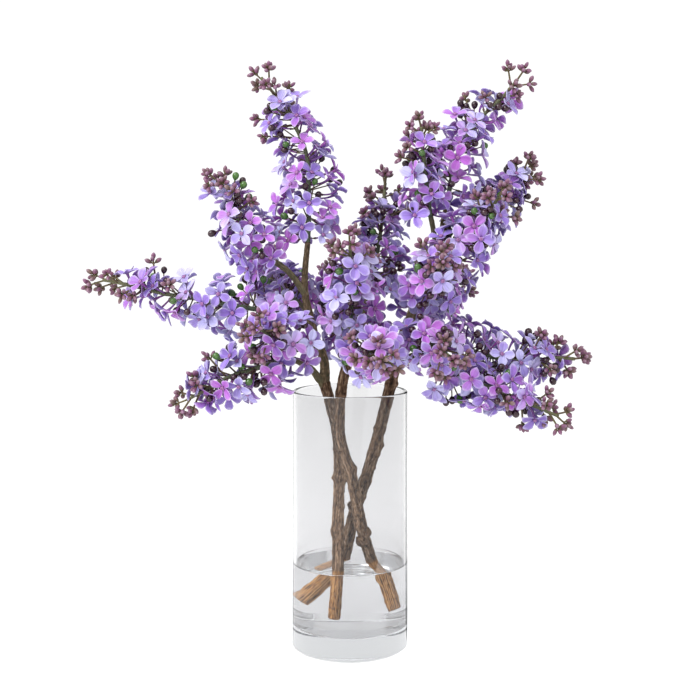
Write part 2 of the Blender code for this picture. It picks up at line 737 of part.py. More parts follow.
def main():
    for obj in list(bpy.data.objects):
        bpy.data.objects.remove(obj, do_unlink=True)
    thicket = Thicket()
    heads = []
    for number, (name, shoot) in enumerate(SHOOTS.items()):
        twig, rachis = shoot_lines(shoot)
        thicket.add([(*p, shoot["radii"][0] + TWIG_CLEARANCE) for p in twig.even(20)], -1)
        thicket.add([(*rachis.at(i / 40)[0], core_radius(i / 40)) for i in range(41)], number, True)
        heads.append({"name": name, "number": number, "line": rachis, "count": shoot["florets"],
                      "girth": shoot["girth"], "phase": HEAD_TURN * number, "florets": [], "berries": [],
                      "clusters": []})
    for name, stem in STEMS.items():
        thicket.add([(*p, stem["radii"][0] * STEM_CLEARANCE) for p in stem_line(name).even(60)], -1)
    rim = [(math.cos(a) * (VASE_RADIUS - 1.5 * MM), math.sin(a) * (VASE_RADIUS - 1.5 * MM))
           for a in (i * math.pi / 60 for i in range(120))]
    for level in range(5):
        thicket.add([(x, y, VASE_HEIGHT - level * 3 * MM, 2 * MM) for x, y in rim], -2)
    grow(heads, thicket)

    bouquet = bpy.data.collections.new("lilac_stems_in_vase")
    bpy.context.scene.collection.children.link(bouquet)
    bark = material("bark", (0.20, 0.14, 0.10), 0.85)
    petals = material("petals", (0.36, 0.22, 0.62), 0.6)
    made = [make_vase(), make_water()]
    made += [make_stem(name, bark) for name in STEMS]
    made += [make_head(head, petals) for head in heads]
    for obj in made:
        bpy.context.scene.collection.objects.unlink(obj)
        bouquet.objects.link(obj)


main()
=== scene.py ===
"""Three cut lilac stems in clear water in a straight glass vase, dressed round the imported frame."""

import math
import random

import bpy
import numpy as np
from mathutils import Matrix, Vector


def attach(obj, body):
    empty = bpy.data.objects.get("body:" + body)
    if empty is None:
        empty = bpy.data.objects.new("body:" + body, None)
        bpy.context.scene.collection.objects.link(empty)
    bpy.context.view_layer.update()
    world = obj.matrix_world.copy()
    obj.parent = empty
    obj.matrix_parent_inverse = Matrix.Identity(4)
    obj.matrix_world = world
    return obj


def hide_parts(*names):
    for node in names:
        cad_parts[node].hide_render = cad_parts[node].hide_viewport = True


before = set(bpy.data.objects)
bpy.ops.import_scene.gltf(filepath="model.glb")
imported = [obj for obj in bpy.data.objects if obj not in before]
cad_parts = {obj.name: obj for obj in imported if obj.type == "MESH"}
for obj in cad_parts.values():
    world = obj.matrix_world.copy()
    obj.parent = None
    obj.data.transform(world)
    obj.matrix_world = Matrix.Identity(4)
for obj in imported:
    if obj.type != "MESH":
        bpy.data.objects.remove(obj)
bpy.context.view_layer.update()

# The glass vase. The real one is a drawn tube of soda-lime glass, fire-polished at the rim and
# fused to a thick pressed foot.
MM = 0.001
VASE_RADIUS = 50 * MM
VASE_HEIGHT = 220 * MM
VASE_WALL = 3 * MM
VASE_FOOT = 19 * MM
VASE_EDGE = 2.2 * MM
VASE_INNER_EDGE = 1.5 * MM
STANDING_RING = 6 * MM
PUSH_UP = 0.7 * MM
GLASS_SIDES = 160
CORNER_STEPS = 12
RIM_STEPS = 10
HOLD = 0.12 * MM


def linear(hex_colour):
    """A linear colour from an sRGB hex value."""
    channels = [int(hex_colour[i:i + 2], 16) / 255 for i in (1, 3, 5)]
    return tuple(c / 12.92 if c <= 0.04045 else ((c + 0.055) / 1.055) ** 2.4 for c in channels)


def add_node(tree, kind, settings=None, links=None):
    """Adds a node, sets its sockets or properties by name, and links sockets to it.

    A link that names only a node comes from its first output."""
    node = tree.nodes.new(kind)
    for name, value in (settings or {}).items():
        if isinstance(name, int) or name in node.inputs:
            node.inputs[name].default_value = value
        else:
            setattr(node, name, value)
    for name, source in (links or {}).items():
        first = isinstance(source, bpy.types.Node)
        tree.links.new(source.outputs[0] if first else source, node.inputs[name])
    return node


def new_material(name):
    """A material, its node tree and its output node."""
    made = bpy.data.materials.new(name)
    made.use_nodes = True
    made.node_tree.nodes.clear()
    return made, made.node_tree, add_node(made.node_tree, "ShaderNodeOutputMaterial")


def new_object(name, data):
    """An object with this data, in the scene."""
    made = bpy.data.objects.new(name, data)
    bpy.context.scene.collection.objects.link(made)
    return made


def new_mesh(name, points, faces, materials):
    """An object with this mesh and these materials, in the scene."""
    mesh = bpy.data.meshes.new(name)
    mesh.from_pydata(points, [], faces)
    for material in materials:
        mesh.materials.append(material)
    return new_object(name, mesh)


def arc(centre_x, centre_z, radius, start, end, count=8):
    """Points on an arc of a profile, between two angles in degrees."""
    angles = [math.radians(start + (end - start) * i / count) for i in range(count + 1)]
    return [(centre_x + radius * math.cos(a), centre_z + radius * math.sin(a)) for a in angles]


def held(profile):
    """The profile with a point near both ends of each straight, so that it shades as straight."""
    kept = [profile[0]]
    for (x0, z0), (x1, z1) in zip(profile, profile[1:]):
        length = math.hypot(x1 - x0, z1 - z0)
        if length > 2 * MM:
            for share in (HOLD / length, 1 - HOLD / length):
                kept.append((x0 + (x1 - x0) * share, z0 + (z1 - z0) * share))
        kept.append((x1, z1))
    return kept


def turned(name, profile, sides, material):
    """A closed solid of revolution from its half profile, whose ends lie on the axis."""
    profile = held(profile)
    ring = profile[1:-1]
    angles = [2 * math.pi * i / sides for i in range(sides)]
    verts = [(0, 0, profile[0][1])]
    verts += [(x * math.cos(a), x * math.sin(a), z) for x, z in ring for a in angles]
    verts.append((0, 0, profile[-1][1]))
    faces = [(0, 1 + i, 1 + (i + 1) % sides) for i in range(sides)]
    for row in range(len(ring) - 1):
        low, high = 1 + row * sides, 1 + (row + 1) * sides
        faces += [(low + i, high + i, high + (i + 1) % sides, low + (i + 1) % sides)
                  for i in range(sides)]
    last = 1 + (len(ring) - 1) * sides
    faces += [(len(verts) - 1, last + (i + 1) % sides, last + i) for i in range(sides)]
    made = new_mesh(name, verts, faces, [material])
    made.data.shade_smooth()
    return made


def clear_material(name, settings, deep_colour, density):
    """A mirror-smooth clear material that tints with depth, and that lamp light passes freely."""
    made, tree, output = new_material(name)
    shader = add_node(tree, "ShaderNodeBsdfPrincipled",
                      {"Roughness": 0.0, "Transmission Weight": 1.0, **settings})
    tint = add_node(tree, "ShaderNodeVolumeAbsorption",
                    {"Color": (*linear(deep_colour), 1), "Density": density})
    path = add_node(tree, "ShaderNodeLightPath")
    clear = add_node(tree, "ShaderNodeBsdfTransparent")
    either = add_node(tree, "ShaderNodeMixShader", {},
                      {0: path.outputs["Is Shadow Ray"], 1: shader, 2: clear})
    tree.links.new(either.outputs["Shader"], output.inputs["Surface"])
    tree.links.new(tint.outputs["Volume"], output.inputs["Volume"])
    return made


vase_inner = VASE_RADIUS - VASE_WALL
rim = VASE_WALL / 2
vase_profile = [(0, VASE_FOOT)]
vase_profile += arc(vase_inner - VASE_INNER_EDGE, VASE_FOOT + VASE_INNER_EDGE, VASE_INNER_EDGE,
                    -90, 0, CORNER_STEPS)
vase_profile += arc(VASE_RADIUS - rim, VASE_HEIGHT - rim, rim, 180, 0, RIM_STEPS)
vase_profile += arc(VASE_RADIUS - VASE_EDGE, VASE_EDGE, VASE_EDGE, 0, -90)
vase_profile += [(VASE_RADIUS - STANDING_RING, PUSH_UP), (0, PUSH_UP)]

# Clear soda-lime glass: IOR 1.52, mirror smooth, with the faint grey tint that its edges show.
# Its surface reflection is halved, so that the white studio doesn't veil the stems.
glass = clear_material("soda_lime_glass", {"Base Color": (*linear("#E5E5E6"), 1), "IOR": 1.52,
                                           "Specular Tint": (0.5, 0.5, 0.5, 1)}, "#B9C2C6", 4.0)
vase = turned("vase_glass", vase_profile, GLASS_SIDES, glass)
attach(vase, "root")
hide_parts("vase")

# The water, poured in to about a third of the vase. It wets the glass, so it runs a hair into the
# wall, where the two surfaces act as one, and climbs it in a small meniscus.
WATER_LEVEL = 70.5 * MM
WATER_IN_WALL = 0.08 * MM
MENISCUS = 2.0 * MM
MENISCUS_WIDTH = 2.2 * MENISCUS
MENISCUS_STEPS = 8
water_radius = vase_inner + WATER_IN_WALL
water_floor = VASE_FOOT - WATER_IN_WALL
water_profile = [(0, WATER_LEVEL)]
water_profile += [(water_radius - MENISCUS_WIDTH * (1 - s), WATER_LEVEL + MENISCUS * s ** 3)
                  for s in (i / MENISCUS_STEPS for i in range(MENISCUS_STEPS + 1))]
water_profile += arc(water_radius - VASE_INNER_EDGE, water_floor + VASE_INNER_EDGE, VASE_INNER_EDGE,
                     0, -90, CORNER_STEPS)
water_profile.append((0, water_floor))

# Still tap water: IOR 1.333, a mirror-smooth surface and a very faint cool tint.
still_water = clear_material("still_water", {"Base Color": (*linear("#FFFFFF"), 1), "IOR": 1.333},
                             "#DDE3E4", 1.5)
water = turned("water_body", water_profile, GLASS_SIDES, still_water)
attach(water, "root")
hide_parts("water")

# The woody stems: three cut branches of lilac, each with the twigs that fork from it. The bark is
# ridged and ringed at its nodes, and the cut ends are peeled to the orange-tan wood to drink.
UP = Vector((0, 0, 1))
SEAT_GAP = 0.3 * MM
CURVE_STEPS = 8
STEM_STEP = 13 * MM
TWIG_STEP = 20 * MM
RACHIS_STEPS = 6
RACHIS_SEAT = 3 * MM


def points(rows):
    """Points given in millimetres, as vectors in metres."""
    return [Vector(row) * MM for row in rows]


def arrays(*vectors):
    """The vectors as arrays."""
    return [np.array(tuple(vector)) for vector in vectors]


# The part of each stem that stands in the vase: its radii at the cut end and at the top, and its
# route up from the cut end, in millimetres.
STEMS = {
    "stem_left": ((4.7, 4.6), [
        (-12, -30, 33), (-10, -34, 71), (-10, -18, 110), (-9, -8, 143), (-10, -4, 176),
        (-15, -3, 202), (-22, -3, 227)]),
    "stem_centre": ((5.0, 4.4), [
        (31, -6, 33), (19, 0, 71), (10, -12, 103), (2, -20, 145), (-8, -20, 179), (-9, -13, 205),
        (-6, -10, 230), (-2, -8, 246)]),
    "stem_right": ((5.2, 4.8), [
        (-28, 17, 35), (-6, 12, 71), (2, 8, 105), (13, 2, 141), (23, -2, 176), (31, -5, 208),
        (38, -6, 237), (50, -4, 278)]),
}
STEMS = {name: {"radii": (low * MM, high * MM), "route": points(route)}
         for name, ((low, high), route) in STEMS.items()}

# Each shoot leaves a stem or an older twig, first as a woody twig and then as the rachis of its
# flower head: its stem, the large florets on its rachis, how far they reach out, and the twig's
# radii at its two ends, then the route of the twig and that of the rachis.
SHOOTS = {
    "head_top_left": ("stem_left", 10, 1.05, (4.3, 2.4),
        [(-22, -3, 225), (-21, -3, 240), (-28, -4, 260), (-34, -5, 280), (-39, -5, 305),
         (-39, 0, 324)],
        [(-37, 4, 348), (-36, 6, 382), (-38, 4, 425), (-46, 0, 446), (-62, -3, 472),
         (-77, -6, 491)]),
    "head_upper_left": ("stem_left", 8, 0.9, (3.0, 2.3),
        [(-38, -5, 302), (-50, -8, 320), (-60, -11, 328)],
        [(-70, -14, 336), (-83, -22, 350), (-92, -28, 364), (-101, -32, 386), (-112, -34, 400)]),
    "head_far_left": ("stem_left", 10, 0.95, (2.9, 2.2),
        [(-33, -5, 275), (-45, -7, 283)],
        [(-58, -9, 287), (-100, -14, 294), (-130, -18, 300), (-155, -22, 304), (-182, -26, 311),
         (-209, -30, 317)]),
    "head_low_left": ("stem_left", 10, 0.9, (3.4, 2.3),
        [(-22, -3, 224), (-31, -8, 235), (-39, -14, 245)],
        [(-51, -25, 250), (-77, -45, 244), (-99, -52, 238), (-116, -56, 229), (-134, -58, 219)]),
    "head_front_left": ("stem_left", 8, 0.9, (2.7, 2.2),
        [(-28, -4, 258), (-36, -18, 262)],
        [(-44, -32, 265), (-56, -52, 270), (-66, -72, 275), (-72, -88, 280)]),
    "head_back_left": ("stem_left", 8, 0.95, (2.8, 2.2),
        [(-36, -5, 288), (-40, 10, 291)],
        [(-45, 22, 294), (-58, 50, 302), (-72, 80, 312), (-86, 112, 326)]),
    "head_centre": ("stem_centre", 8, 0.95, (3.2, 2.3),
        [(-2, -8, 244), (-1, -12, 262)],
        [(0, -22, 277), (1, -40, 297), (1, -60, 322), (0, -78, 348)]),
    "head_low_centre": ("stem_centre", 8, 0.9, (2.8, 2.2),
        [(-3, -8, 242), (4, -20, 252)],
        [(10, -32, 256), (17, -58, 259), (22, -86, 260), (26, -112, 259)]),
    "head_centre_top": ("stem_centre", 10, 0.95, (3.2, 2.3),
        [(-2, -8, 243), (3, 2, 258), (10, 16, 280)],
        [(17, 27, 303), (24, 36, 335), (29, 42, 368), (32, 46, 402)]),
    "head_back_centre": ("stem_centre", 8, 0.95, (2.9, 2.2),
        [(-3, -9, 240), (-4, 8, 256)],
        [(-5, 24, 266), (-8, 52, 281), (-11, 84, 300), (-14, 114, 322)]),
    "head_top_right": ("stem_right", 10, 0.95, (4.2, 2.3),
        [(50, -4, 275), (61, 0, 307), (74, 1, 334), (81, 7, 362)],
        [(85, 10, 381), (90, 12, 408), (97, 12, 432), (118, 8, 461), (134, 4, 476), (146, 0, 490)]),
    "head_upper_right": ("stem_right", 7, 0.68, (2.5, 2.1),
        [(76, 2, 342), (72, -8, 358)],
        [(69, -14, 371), (65, -22, 399), (62, -28, 424), (60, -31, 446)]),
    "head_right": ("stem_right", 8, 0.9, (2.7, 2.2),
        [(75, 1, 337), (95, 13, 350)],
        [(106, 20, 361), (127, 26, 382), (143, 28, 399), (157, 30, 413)]),
    "head_front_right": ("stem_right", 8, 0.9, (2.7, 2.2),
        [(63, 0, 311), (78, -10, 319)],
        [(87, -20, 326), (91, -32, 343), (101, -44, 357), (111, -52, 369), (123, -60, 387)]),
    "head_far_right": ("stem_right", 10, 0.95, (3.6, 2.3),
        [(39, -6, 240), (52, -7, 249), (69, -8, 255)],
        [(90, -10, 258), (125, -18, 250), (150, -20, 247), (172, -20, 250), (192, -20, 249)]),
    "head_drooping_right": ("stem_right", 7, 0.85, (2.7, 2.2),
        [(52, -7, 249), (62, -18, 246)],
        [(72, -28, 243), (100, -44, 234), (130, -54, 223), (152, -58, 214), (171, -60, 206)]),
    "head_low_right": ("stem_right", 8, 0.9, (2.8, 2.2),
        [(44, -5, 258), (53, -16, 263)],
        [(59, -28, 266), (66, -52, 265), (72, -74, 263), (78, -96, 259)]),
    "head_middle_right": ("stem_right", 8, 0.9, (2.7, 2.2),
        [(57, -1, 297), (63, -16, 304)],
        [(66, -28, 308), (69, -48, 316), (71, -68, 325), (72, -88, 334)]),
    "head_back_right": ("stem_right", 8, 0.95, (2.9, 2.2),
        [(51, -4, 281), (56, 12, 288)],
        [(62, 26, 292), (76, 56, 298), (90, 88, 304), (103, 118, 312)]),
}
SHOOTS = {name: {"stem": stem, "florets": florets, "girth": girth, "radii": (low * MM, high * MM),
                 "twig": points(twig), "rachis": points(rachis)}
          for name, (stem, florets, girth, (low, high), twig, rachis) in SHOOTS.items()}


def catmull_rom(a, b, c, d, t):
    """A point between b and c on the smooth curve through a, b, c and d."""
    return 0.5 * (2 * b + (c - a) * t + (2 * a - 5 * b + 4 * c - d) * t * t
                  + (3 * b - a - 3 * c + d) * t * t * t)


def smooth(controls, steps=CURVE_STEPS):
    """A fine polyline on the smooth curve through the control points."""
    padded = [2 * controls[0] - controls[1], *controls, 2 * controls[-1] - controls[-2]]
    line = []
    for i in range(len(controls) - 1):
        for k in range(steps):
            line.append(catmull_rom(*padded[i:i + 4], k / steps))
    return line + [controls[-1].copy()]


class Line:
    """A polyline that can be read at any share of its length."""

    def __init__(self, vertices):
        self.vertices = vertices
        steps = [(b - a).length for a, b in zip(vertices, vertices[1:])]
        self.marks = [sum(steps[:i]) for i in range(len(vertices))]
        self.length = self.marks[-1]

    def at(self, share):
        """The point and the direction at this share of the length."""
        wanted = min(max(share, 0.0), 1.0) * self.length
        i = 0
        while i < len(self.marks) - 2 and self.marks[i + 1] < wanted:
            i += 1
        a, b = self.vertices[i], self.vertices[i + 1]
        part = (wanted - self.marks[i]) / max(self.marks[i + 1] - self.marks[i], 1e-9)
        return a.lerp(b, part), (b - a).normalized()

    def even(self, count):
        """count + 1 points evenly along the line."""
        return [self.at(i / count)[0] for i in range(count + 1)]


def shoot_lines(shoot):
    """The twig's line and the rachis's line, two stretches of one smooth curve, end to end."""
    curve = smooth(shoot["twig"] + shoot["rachis"])
    split = len(shoot["twig"]) * CURVE_STEPS
    twig = coarse(Line(curve[:split + 1]), TWIG_STEP)
    seat, ahead = twig.at(1)
    start = seat + ahead * SEAT_GAP
    rachis = Line(curve[split:]).even(RACHIS_STEPS)
    return twig, Line([start, start + ahead * RACHIS_SEAT] + rachis[1:])


def coarse(line, step):
    """The line as even chords of about this step."""
    return Line(line.even(max(2, round(line.length / step))))


def across(direction):
    """Two directions at right angles to this one and to each other."""
    side = direction.cross(UP if abs(direction.z) < 0.9 else Vector((0, 1, 0))).normalized()
    return side, direction.cross(side).normalized()


def aimed(side, other, angle):
    """The direction at this angle from side towards other."""
    return side * math.cos(angle) + other * math.sin(angle)


def bands(rows, sides):
    """The faces between each ring of points and the next."""
    return [(low + i, low + (i + 1) % sides, low + sides + (i + 1) % sides, low + sides + i)
            for low in range(0, (rows - 1) * sides, sides) for i in range(sides)]


def stem_line(name):
    """The stem's line from its cut end up."""
    return coarse(Line(smooth(STEMS[name]["route"])), STEM_STEP)


BARK_RING = 1.4 * MM
BARK_SIDES = 40
TWIG_SIDES = 16
PEEL_HEIGHT = 72 * MM
PEEL_EDGE = 0.5 * MM
GRAIN_RADIUS = 4.6
NODE_SPACING = (17, 44)
NODE_SWELL = (0.03, 0.11)
NODE_CREASE = 0.22
RIDGES = ((3, 0.26), (5, 0.20), (8, 0.16), (13, 0.10))
RIDGE_DEPTH = 1.1
PEEL_GROOVES = 7.5
WRINKLES = ((1.0, 2), (1.7, -3), (0.6, 5))
GRIT = 0.11
LENTICEL_SHARE = 0.015
LENTICEL_HEIGHT = 0.35


class Piece:
    """Gathers the rings, petals and caps of one mesh, with a tint and a place for each vertex."""

    def __init__(self, name):
        self.name, self.count = name, 0
        self.points, self.tints, self.places, self.faces, self.finishes = [], [], [], [], []

    def add(self, points, faces, finish, tint, places=(0, 0, 0)):
        """Takes in vertices, faces and their finish, and a tint and place for all or for each."""
        points = np.asarray(points, float)
        self.points.append(points)
        self.tints.append(np.broadcast_to(np.asarray(tint, float), (len(points), 3)))
        self.places.append(np.broadcast_to(np.asarray(places, float), (len(points), 3)))
        self.faces += [tuple(i + self.count for i in face) for face in faces]
        self.finishes += finish if isinstance(finish, list) else [finish] * len(faces)
        self.count += len(points)

    def tube(self, path, radii, sides, finish, tint, places=(0, 0, 0)):
        """Takes in a capped tube along the path."""
        surface, faces, _ = sweep(path, radii, sides)
        self.add(surface, faces, finish, tint, places)

    def make(self, materials):
        """The finished mesh object."""
        points = np.concatenate(self.points).tolist()
        made = new_mesh(self.name, points, self.faces, materials)
        mesh = made.data
        mesh.polygons.foreach_set("material_index", self.finishes)
        tints = mesh.attributes.new("tint", "FLOAT_COLOR", "POINT")
        rows = np.concatenate(self.tints)
        tints.data.foreach_set("color", np.column_stack([rows, np.ones(len(rows))]).ravel())
        places = mesh.attributes.new("place", "FLOAT_VECTOR", "POINT")
        places.data.foreach_set("vector", np.concatenate(self.places).ravel())
        mesh.shade_smooth()
        return made


def sweep(path, radii, sides):
    """A capped tube along the path: vertices, faces, and each ring's outward directions."""
    path = np.asarray(path, float)
    radii = np.asarray(radii, float)
    radii = radii[:, None] if radii.ndim == 1 else radii
    tangents = np.gradient(path, axis=0)
    tangents /= np.linalg.norm(tangents, axis=1)[:, None]
    first = np.array(across(Vector(tangents[0]))[0])
    angles = 2 * math.pi * np.arange(sides) / sides
    outs = []
    for tangent in tangents:
        first = first - tangent * first.dot(tangent)
        first /= np.linalg.norm(first)
        second = np.cross(tangent, first)
        outs.append(np.cos(angles)[:, None] * first + np.sin(angles)[:, None] * second)
    outs = np.array(outs)
    points = path[:, None, :] + outs * radii[:, :, None]
    caps = [tuple(reversed(range(sides))), tuple(range((len(path) - 1) * sides, len(path) * sides))]
    return points.reshape(-1, 3), bands(len(path), sides) + caps, outs


def fine(line, step):
    """Even points of a smooth curve through the line's own points, and their marks along it."""
    curve = Line(smooth(line.vertices, 10))
    count = max(4, round(curve.length / step))
    return np.array(arrays(*curve.even(count))), np.linspace(0, curve.length, count + 1)


def wood(piece, line, radii, sides, seed, knots=(), green=0.0):
    """Bark along a line: ridged lengthwise, gritty, swollen at nodes, knotted, peeled low down."""
    rng = random.Random(seed)
    grit = np.random.default_rng(seed)
    path, marks = fine(line, BARK_RING)
    length = marks[-1]
    angles = 2 * math.pi * np.arange(sides)[None, :] / sides
    along = marks[:, None] / MM
    base = radii[0] + (radii[1] - radii[0]) * marks / length
    swollen, creased = np.zeros(len(marks)), np.zeros((len(marks), sides))
    node = rng.uniform(6, 20)
    while node * MM < length:
        off = marks / MM - node
        swollen += rng.uniform(*NODE_SWELL) * np.exp(-(off / rng.uniform(2.5, 5)) ** 2)
        tilt = off[:, None] + 0.9 * np.sin(angles + rng.uniform(0, 6.28))
        creased += rng.uniform(0.3, 1.0) * np.exp(-(tilt / 0.7) ** 2)
        node += rng.uniform(*NODE_SPACING)
    base = (base * (1 + swollen))[:, None]
    peeled = 1 / (1 + np.exp((path[:, 2:] - PEEL_HEIGHT) / PEEL_EDGE))
    ridge = np.zeros((len(path), sides))
    for count, depth in RIDGES:
        phase, drift, pace = rng.uniform(0, 6.28), rng.uniform(0.3, 1.2), rng.uniform(9, 26)
        wave = np.sin(count * angles + phase + drift * np.sin(along / pace))
        ridge += depth * wave * (0.7 + 0.3 * np.sin(along / (0.37 * pace) + phase))
    grooves = np.abs(np.sin(PEEL_GROOVES * angles + 0.4 * np.sin(along / 11)))
    ridge = ridge * (1 - peeled) + (0.8 * grooves - 0.7) * peeled
    rough = sum(0.05 * np.sin(along * k / 0.9 + rng.uniform(0, 6) + m * angles)
                for k, m in WRINKLES)
    specks = grit.normal(0, GRIT, ridge.shape)
    rough = rough + (specks + np.roll(specks, 1, axis=0)) * (1 - 0.4 * peeled)
    rough = rough + LENTICEL_HEIGHT * (grit.random(ridge.shape) > 1 - LENTICEL_SHARE)
    relief = (RIDGE_DEPTH * ridge + rough) * base / GRAIN_RADIUS
    surface, faces, outs = sweep(path, base + relief - NODE_CREASE * MM * creased, sides)
    for share, direction, height, spread in knots:
        near = np.exp(-((marks - share * length) / spread) ** 2)
        bump = near[:, None] * np.exp(5.5 * (outs @ np.array(direction) - 1)) * height
        surface = surface + (outs * bump[:, :, None]).reshape(-1, 3)
    # Painted shade and light: the tone follows the relief. It is darker in the furrows, dents, node
    # creases and the peeled wood's grooves, and lighter on the ridges. The pale lenticels and part of
    # the random grit are the bark's own speckled tone.
    tone = 0.5 + 0.55 * (ridge + 1.4 * rough - 0.6 * creased)
    tints = np.stack(np.broadcast_arrays(np.clip(tone, 0, 1), peeled, green), -1)
    places = np.stack(np.broadcast_arrays(angles * GRAIN_RADIUS, along, rng.uniform(0, 50)), -1)
    piece.add(surface, faces, 0, tints.reshape(-1, 3), places.reshape(-1, 3))


RESTING_PROFILE = ((0, 0.16), (0.1, 0.27), (0.25, 0.34), (0.42, 0.33), (0.6, 0.26),
                   (0.8, 0.14), (1.0, 0.03))
RESTING_SIDES = 14


def resting_bud(piece, foot, along, out, length):
    """A dark teardrop bud that lies against the bark, over the scar of its leaf."""
    aim = (along + 0.3 * out) / np.linalg.norm(along + 0.3 * out)
    share = np.repeat([s for s, _ in RESTING_PROFILE], RESTING_SIDES)
    around = np.tile(np.arange(RESTING_SIDES), len(RESTING_PROFILE))
    piece.tube([foot + aim * length * s for s, _ in RESTING_PROFILE],
               [length * r for _, r in RESTING_PROFILE], RESTING_SIDES, 0,
               np.column_stack([0.62 - 0.3 * share, share * 0, share * 0]),
               np.column_stack([around, share * 8, share * 0]))


# Lilac bark: dry, matt and grey-brown, with painted shade in its furrows and painted light on its
# ridges. Young twigs are greener, and the peeled ends are bare wood, orange-tan, with painted shade
# in their grooves. Grain runs along the stem.
bark, tree, output = new_material("lilac_bark")
tint = add_node(tree, "ShaderNodeAttribute", {"attribute_name": "tint"})
place = add_node(tree, "ShaderNodeAttribute", {"attribute_name": "place"})
channels = add_node(tree, "ShaderNodeSeparateColor", {}, {"Color": tint})
grain_scale = add_node(tree, "ShaderNodeVectorMath", {"operation": "MULTIPLY", 1: (1.0, 0.16, 1.0)},
                       {0: place.outputs["Vector"]})
grain = add_node(tree, "ShaderNodeTexNoise", {"Scale": 0.9, "Detail": 6.0, "Roughness": 0.7},
                 {"Vector": grain_scale})
plates = add_node(tree, "ShaderNodeTexVoronoi", {"feature": "DISTANCE_TO_EDGE", "Scale": 0.5},
                  {"Vector": grain_scale})
crack = add_node(tree, "ShaderNodeMapRange",
                 {"From Min": 0.0, "From Max": 0.16, "To Min": -0.85, "To Max": -0.6},
                 {"Value": plates.outputs["Distance"]})
grain_tone = add_node(tree, "ShaderNodeMath", {"operation": "MULTIPLY_ADD", 1: 1.5},
                      {0: grain, 2: crack})
# The tint's red channel carries the bark's tone, with its painted shade in the furrows, creases and
# grooves and its painted light on the ridges.
tone = add_node(tree, "ShaderNodeMath", {"operation": "ADD"},
                {0: grain_tone, 1: channels.outputs["Red"]})
ribs = add_node(tree, "ShaderNodeTexWave",
                {"bands_direction": "X", "Scale": 0.23, "Distortion": 2.2, "Detail": 3.0,
                 "Detail Scale": 1.6},
                {"Vector": grain_scale})
ribbed = add_node(tree, "ShaderNodeMath", {"operation": "MULTIPLY_ADD", 1: 0.6},
                  {0: ribs.outputs["Fac"], 2: tone})
ramp = add_node(tree, "ShaderNodeValToRGB", {}, {"Fac": tone})
bare = add_node(tree, "ShaderNodeValToRGB", {}, {"Fac": ribbed})
BARK_STOPS = ((0.0, "#1C120B"), (0.4, "#553E2C"), (0.72, "#876B53"), (1.0, "#B89C80"))
BARE_STOPS = ((0.25, "#341C0C"), (0.62, "#94602F"), (1.0, "#DBA668"))
for node, stops in ((ramp, BARK_STOPS), (bare, BARE_STOPS)):
    elements = node.color_ramp.elements
    elements.remove(elements[1])
    elements[0].position = stops[0][0]
    for position, _ in stops[1:]:
        elements.new(position)
    for element, (_, colour) in zip(elements, stops):
        element.color = (*linear(colour), 1)
young = add_node(tree, "ShaderNodeMix", {"data_type": "RGBA", 7: (*linear("#76785A"), 1)},
                 {0: channels.outputs["Blue"], 6: ramp})
peel = add_node(tree, "ShaderNodeMix", {"data_type": "RGBA"}, {
    0: channels.outputs["Green"], 6: young.outputs[2], 7: bare})
relief = add_node(tree, "ShaderNodeBump", {"Strength": 1.0, "Distance": 1.4 * MM},
                  {"Height": grain})
shader = add_node(tree, "ShaderNodeBsdfPrincipled", {"Roughness": 0.8, "Specular IOR Level": 0.3},
                  {"Base Color": peel.outputs[2], "Normal": relief})
tree.links.new(shader.outputs["BSDF"], output.inputs["Surface"])

# Scars on the bark inside the vase: height, the side each faces, how proud and how wide, in mm.
SCARS = {
    "stem_left": ((145, (-1, -0.2, 0), 1.8, 2.6), (100, (0.1, -1, 0), 1.6, 3.8),
                  (122, (1, -0.3, 0), 1.0, 2.2)),
    "stem_centre": ((94, (-0.6, -0.8, 0), 3.0, 2.8), (99, (0.9, -0.35, 0), 2.8, 2.6),
                    (148, (0, -1, 0), 1.2, 4.4), (132, (1, -0.4, 0), 1.2, 2.2)),
    "stem_right": ((118, (-0.9, -0.4, 0), 2.4, 3.0), (166, (1, -0.3, 0), 1.6, 2.4),
                   (186, (-1, 0, 0), 1.2, 2.2)),
}

# Resting buds on the bark: height, the side each faces, and its length, in mm.
RESTING_BUDS = {
    "stem_left": ((168, (-0.9, -0.5, 0), 5.0),),
    "stem_centre": ((90, (-0.75, -0.75, 0), 12.0), (96, (0.9, -0.45, 0), 9.5)),
    "stem_right": ((113, (-0.95, -0.3, 0), 7.0), (152, (0.9, -0.5, 0), 5.5)),
}

# Pruned twigs' knots above the rim, as shares of the stem's length, and how proud and wide.
KNOT_SHARES = (0.36, 0.58)
KNOT_SIZE = (2.6 * MM, 4.2 * MM)
SMALL_KNOTS = 4


def share_at(line, height):
    """The share of the line's length at which it first reaches this height."""
    return next(i / 400 for i in range(401) if line.at(i / 400)[0].z >= height)


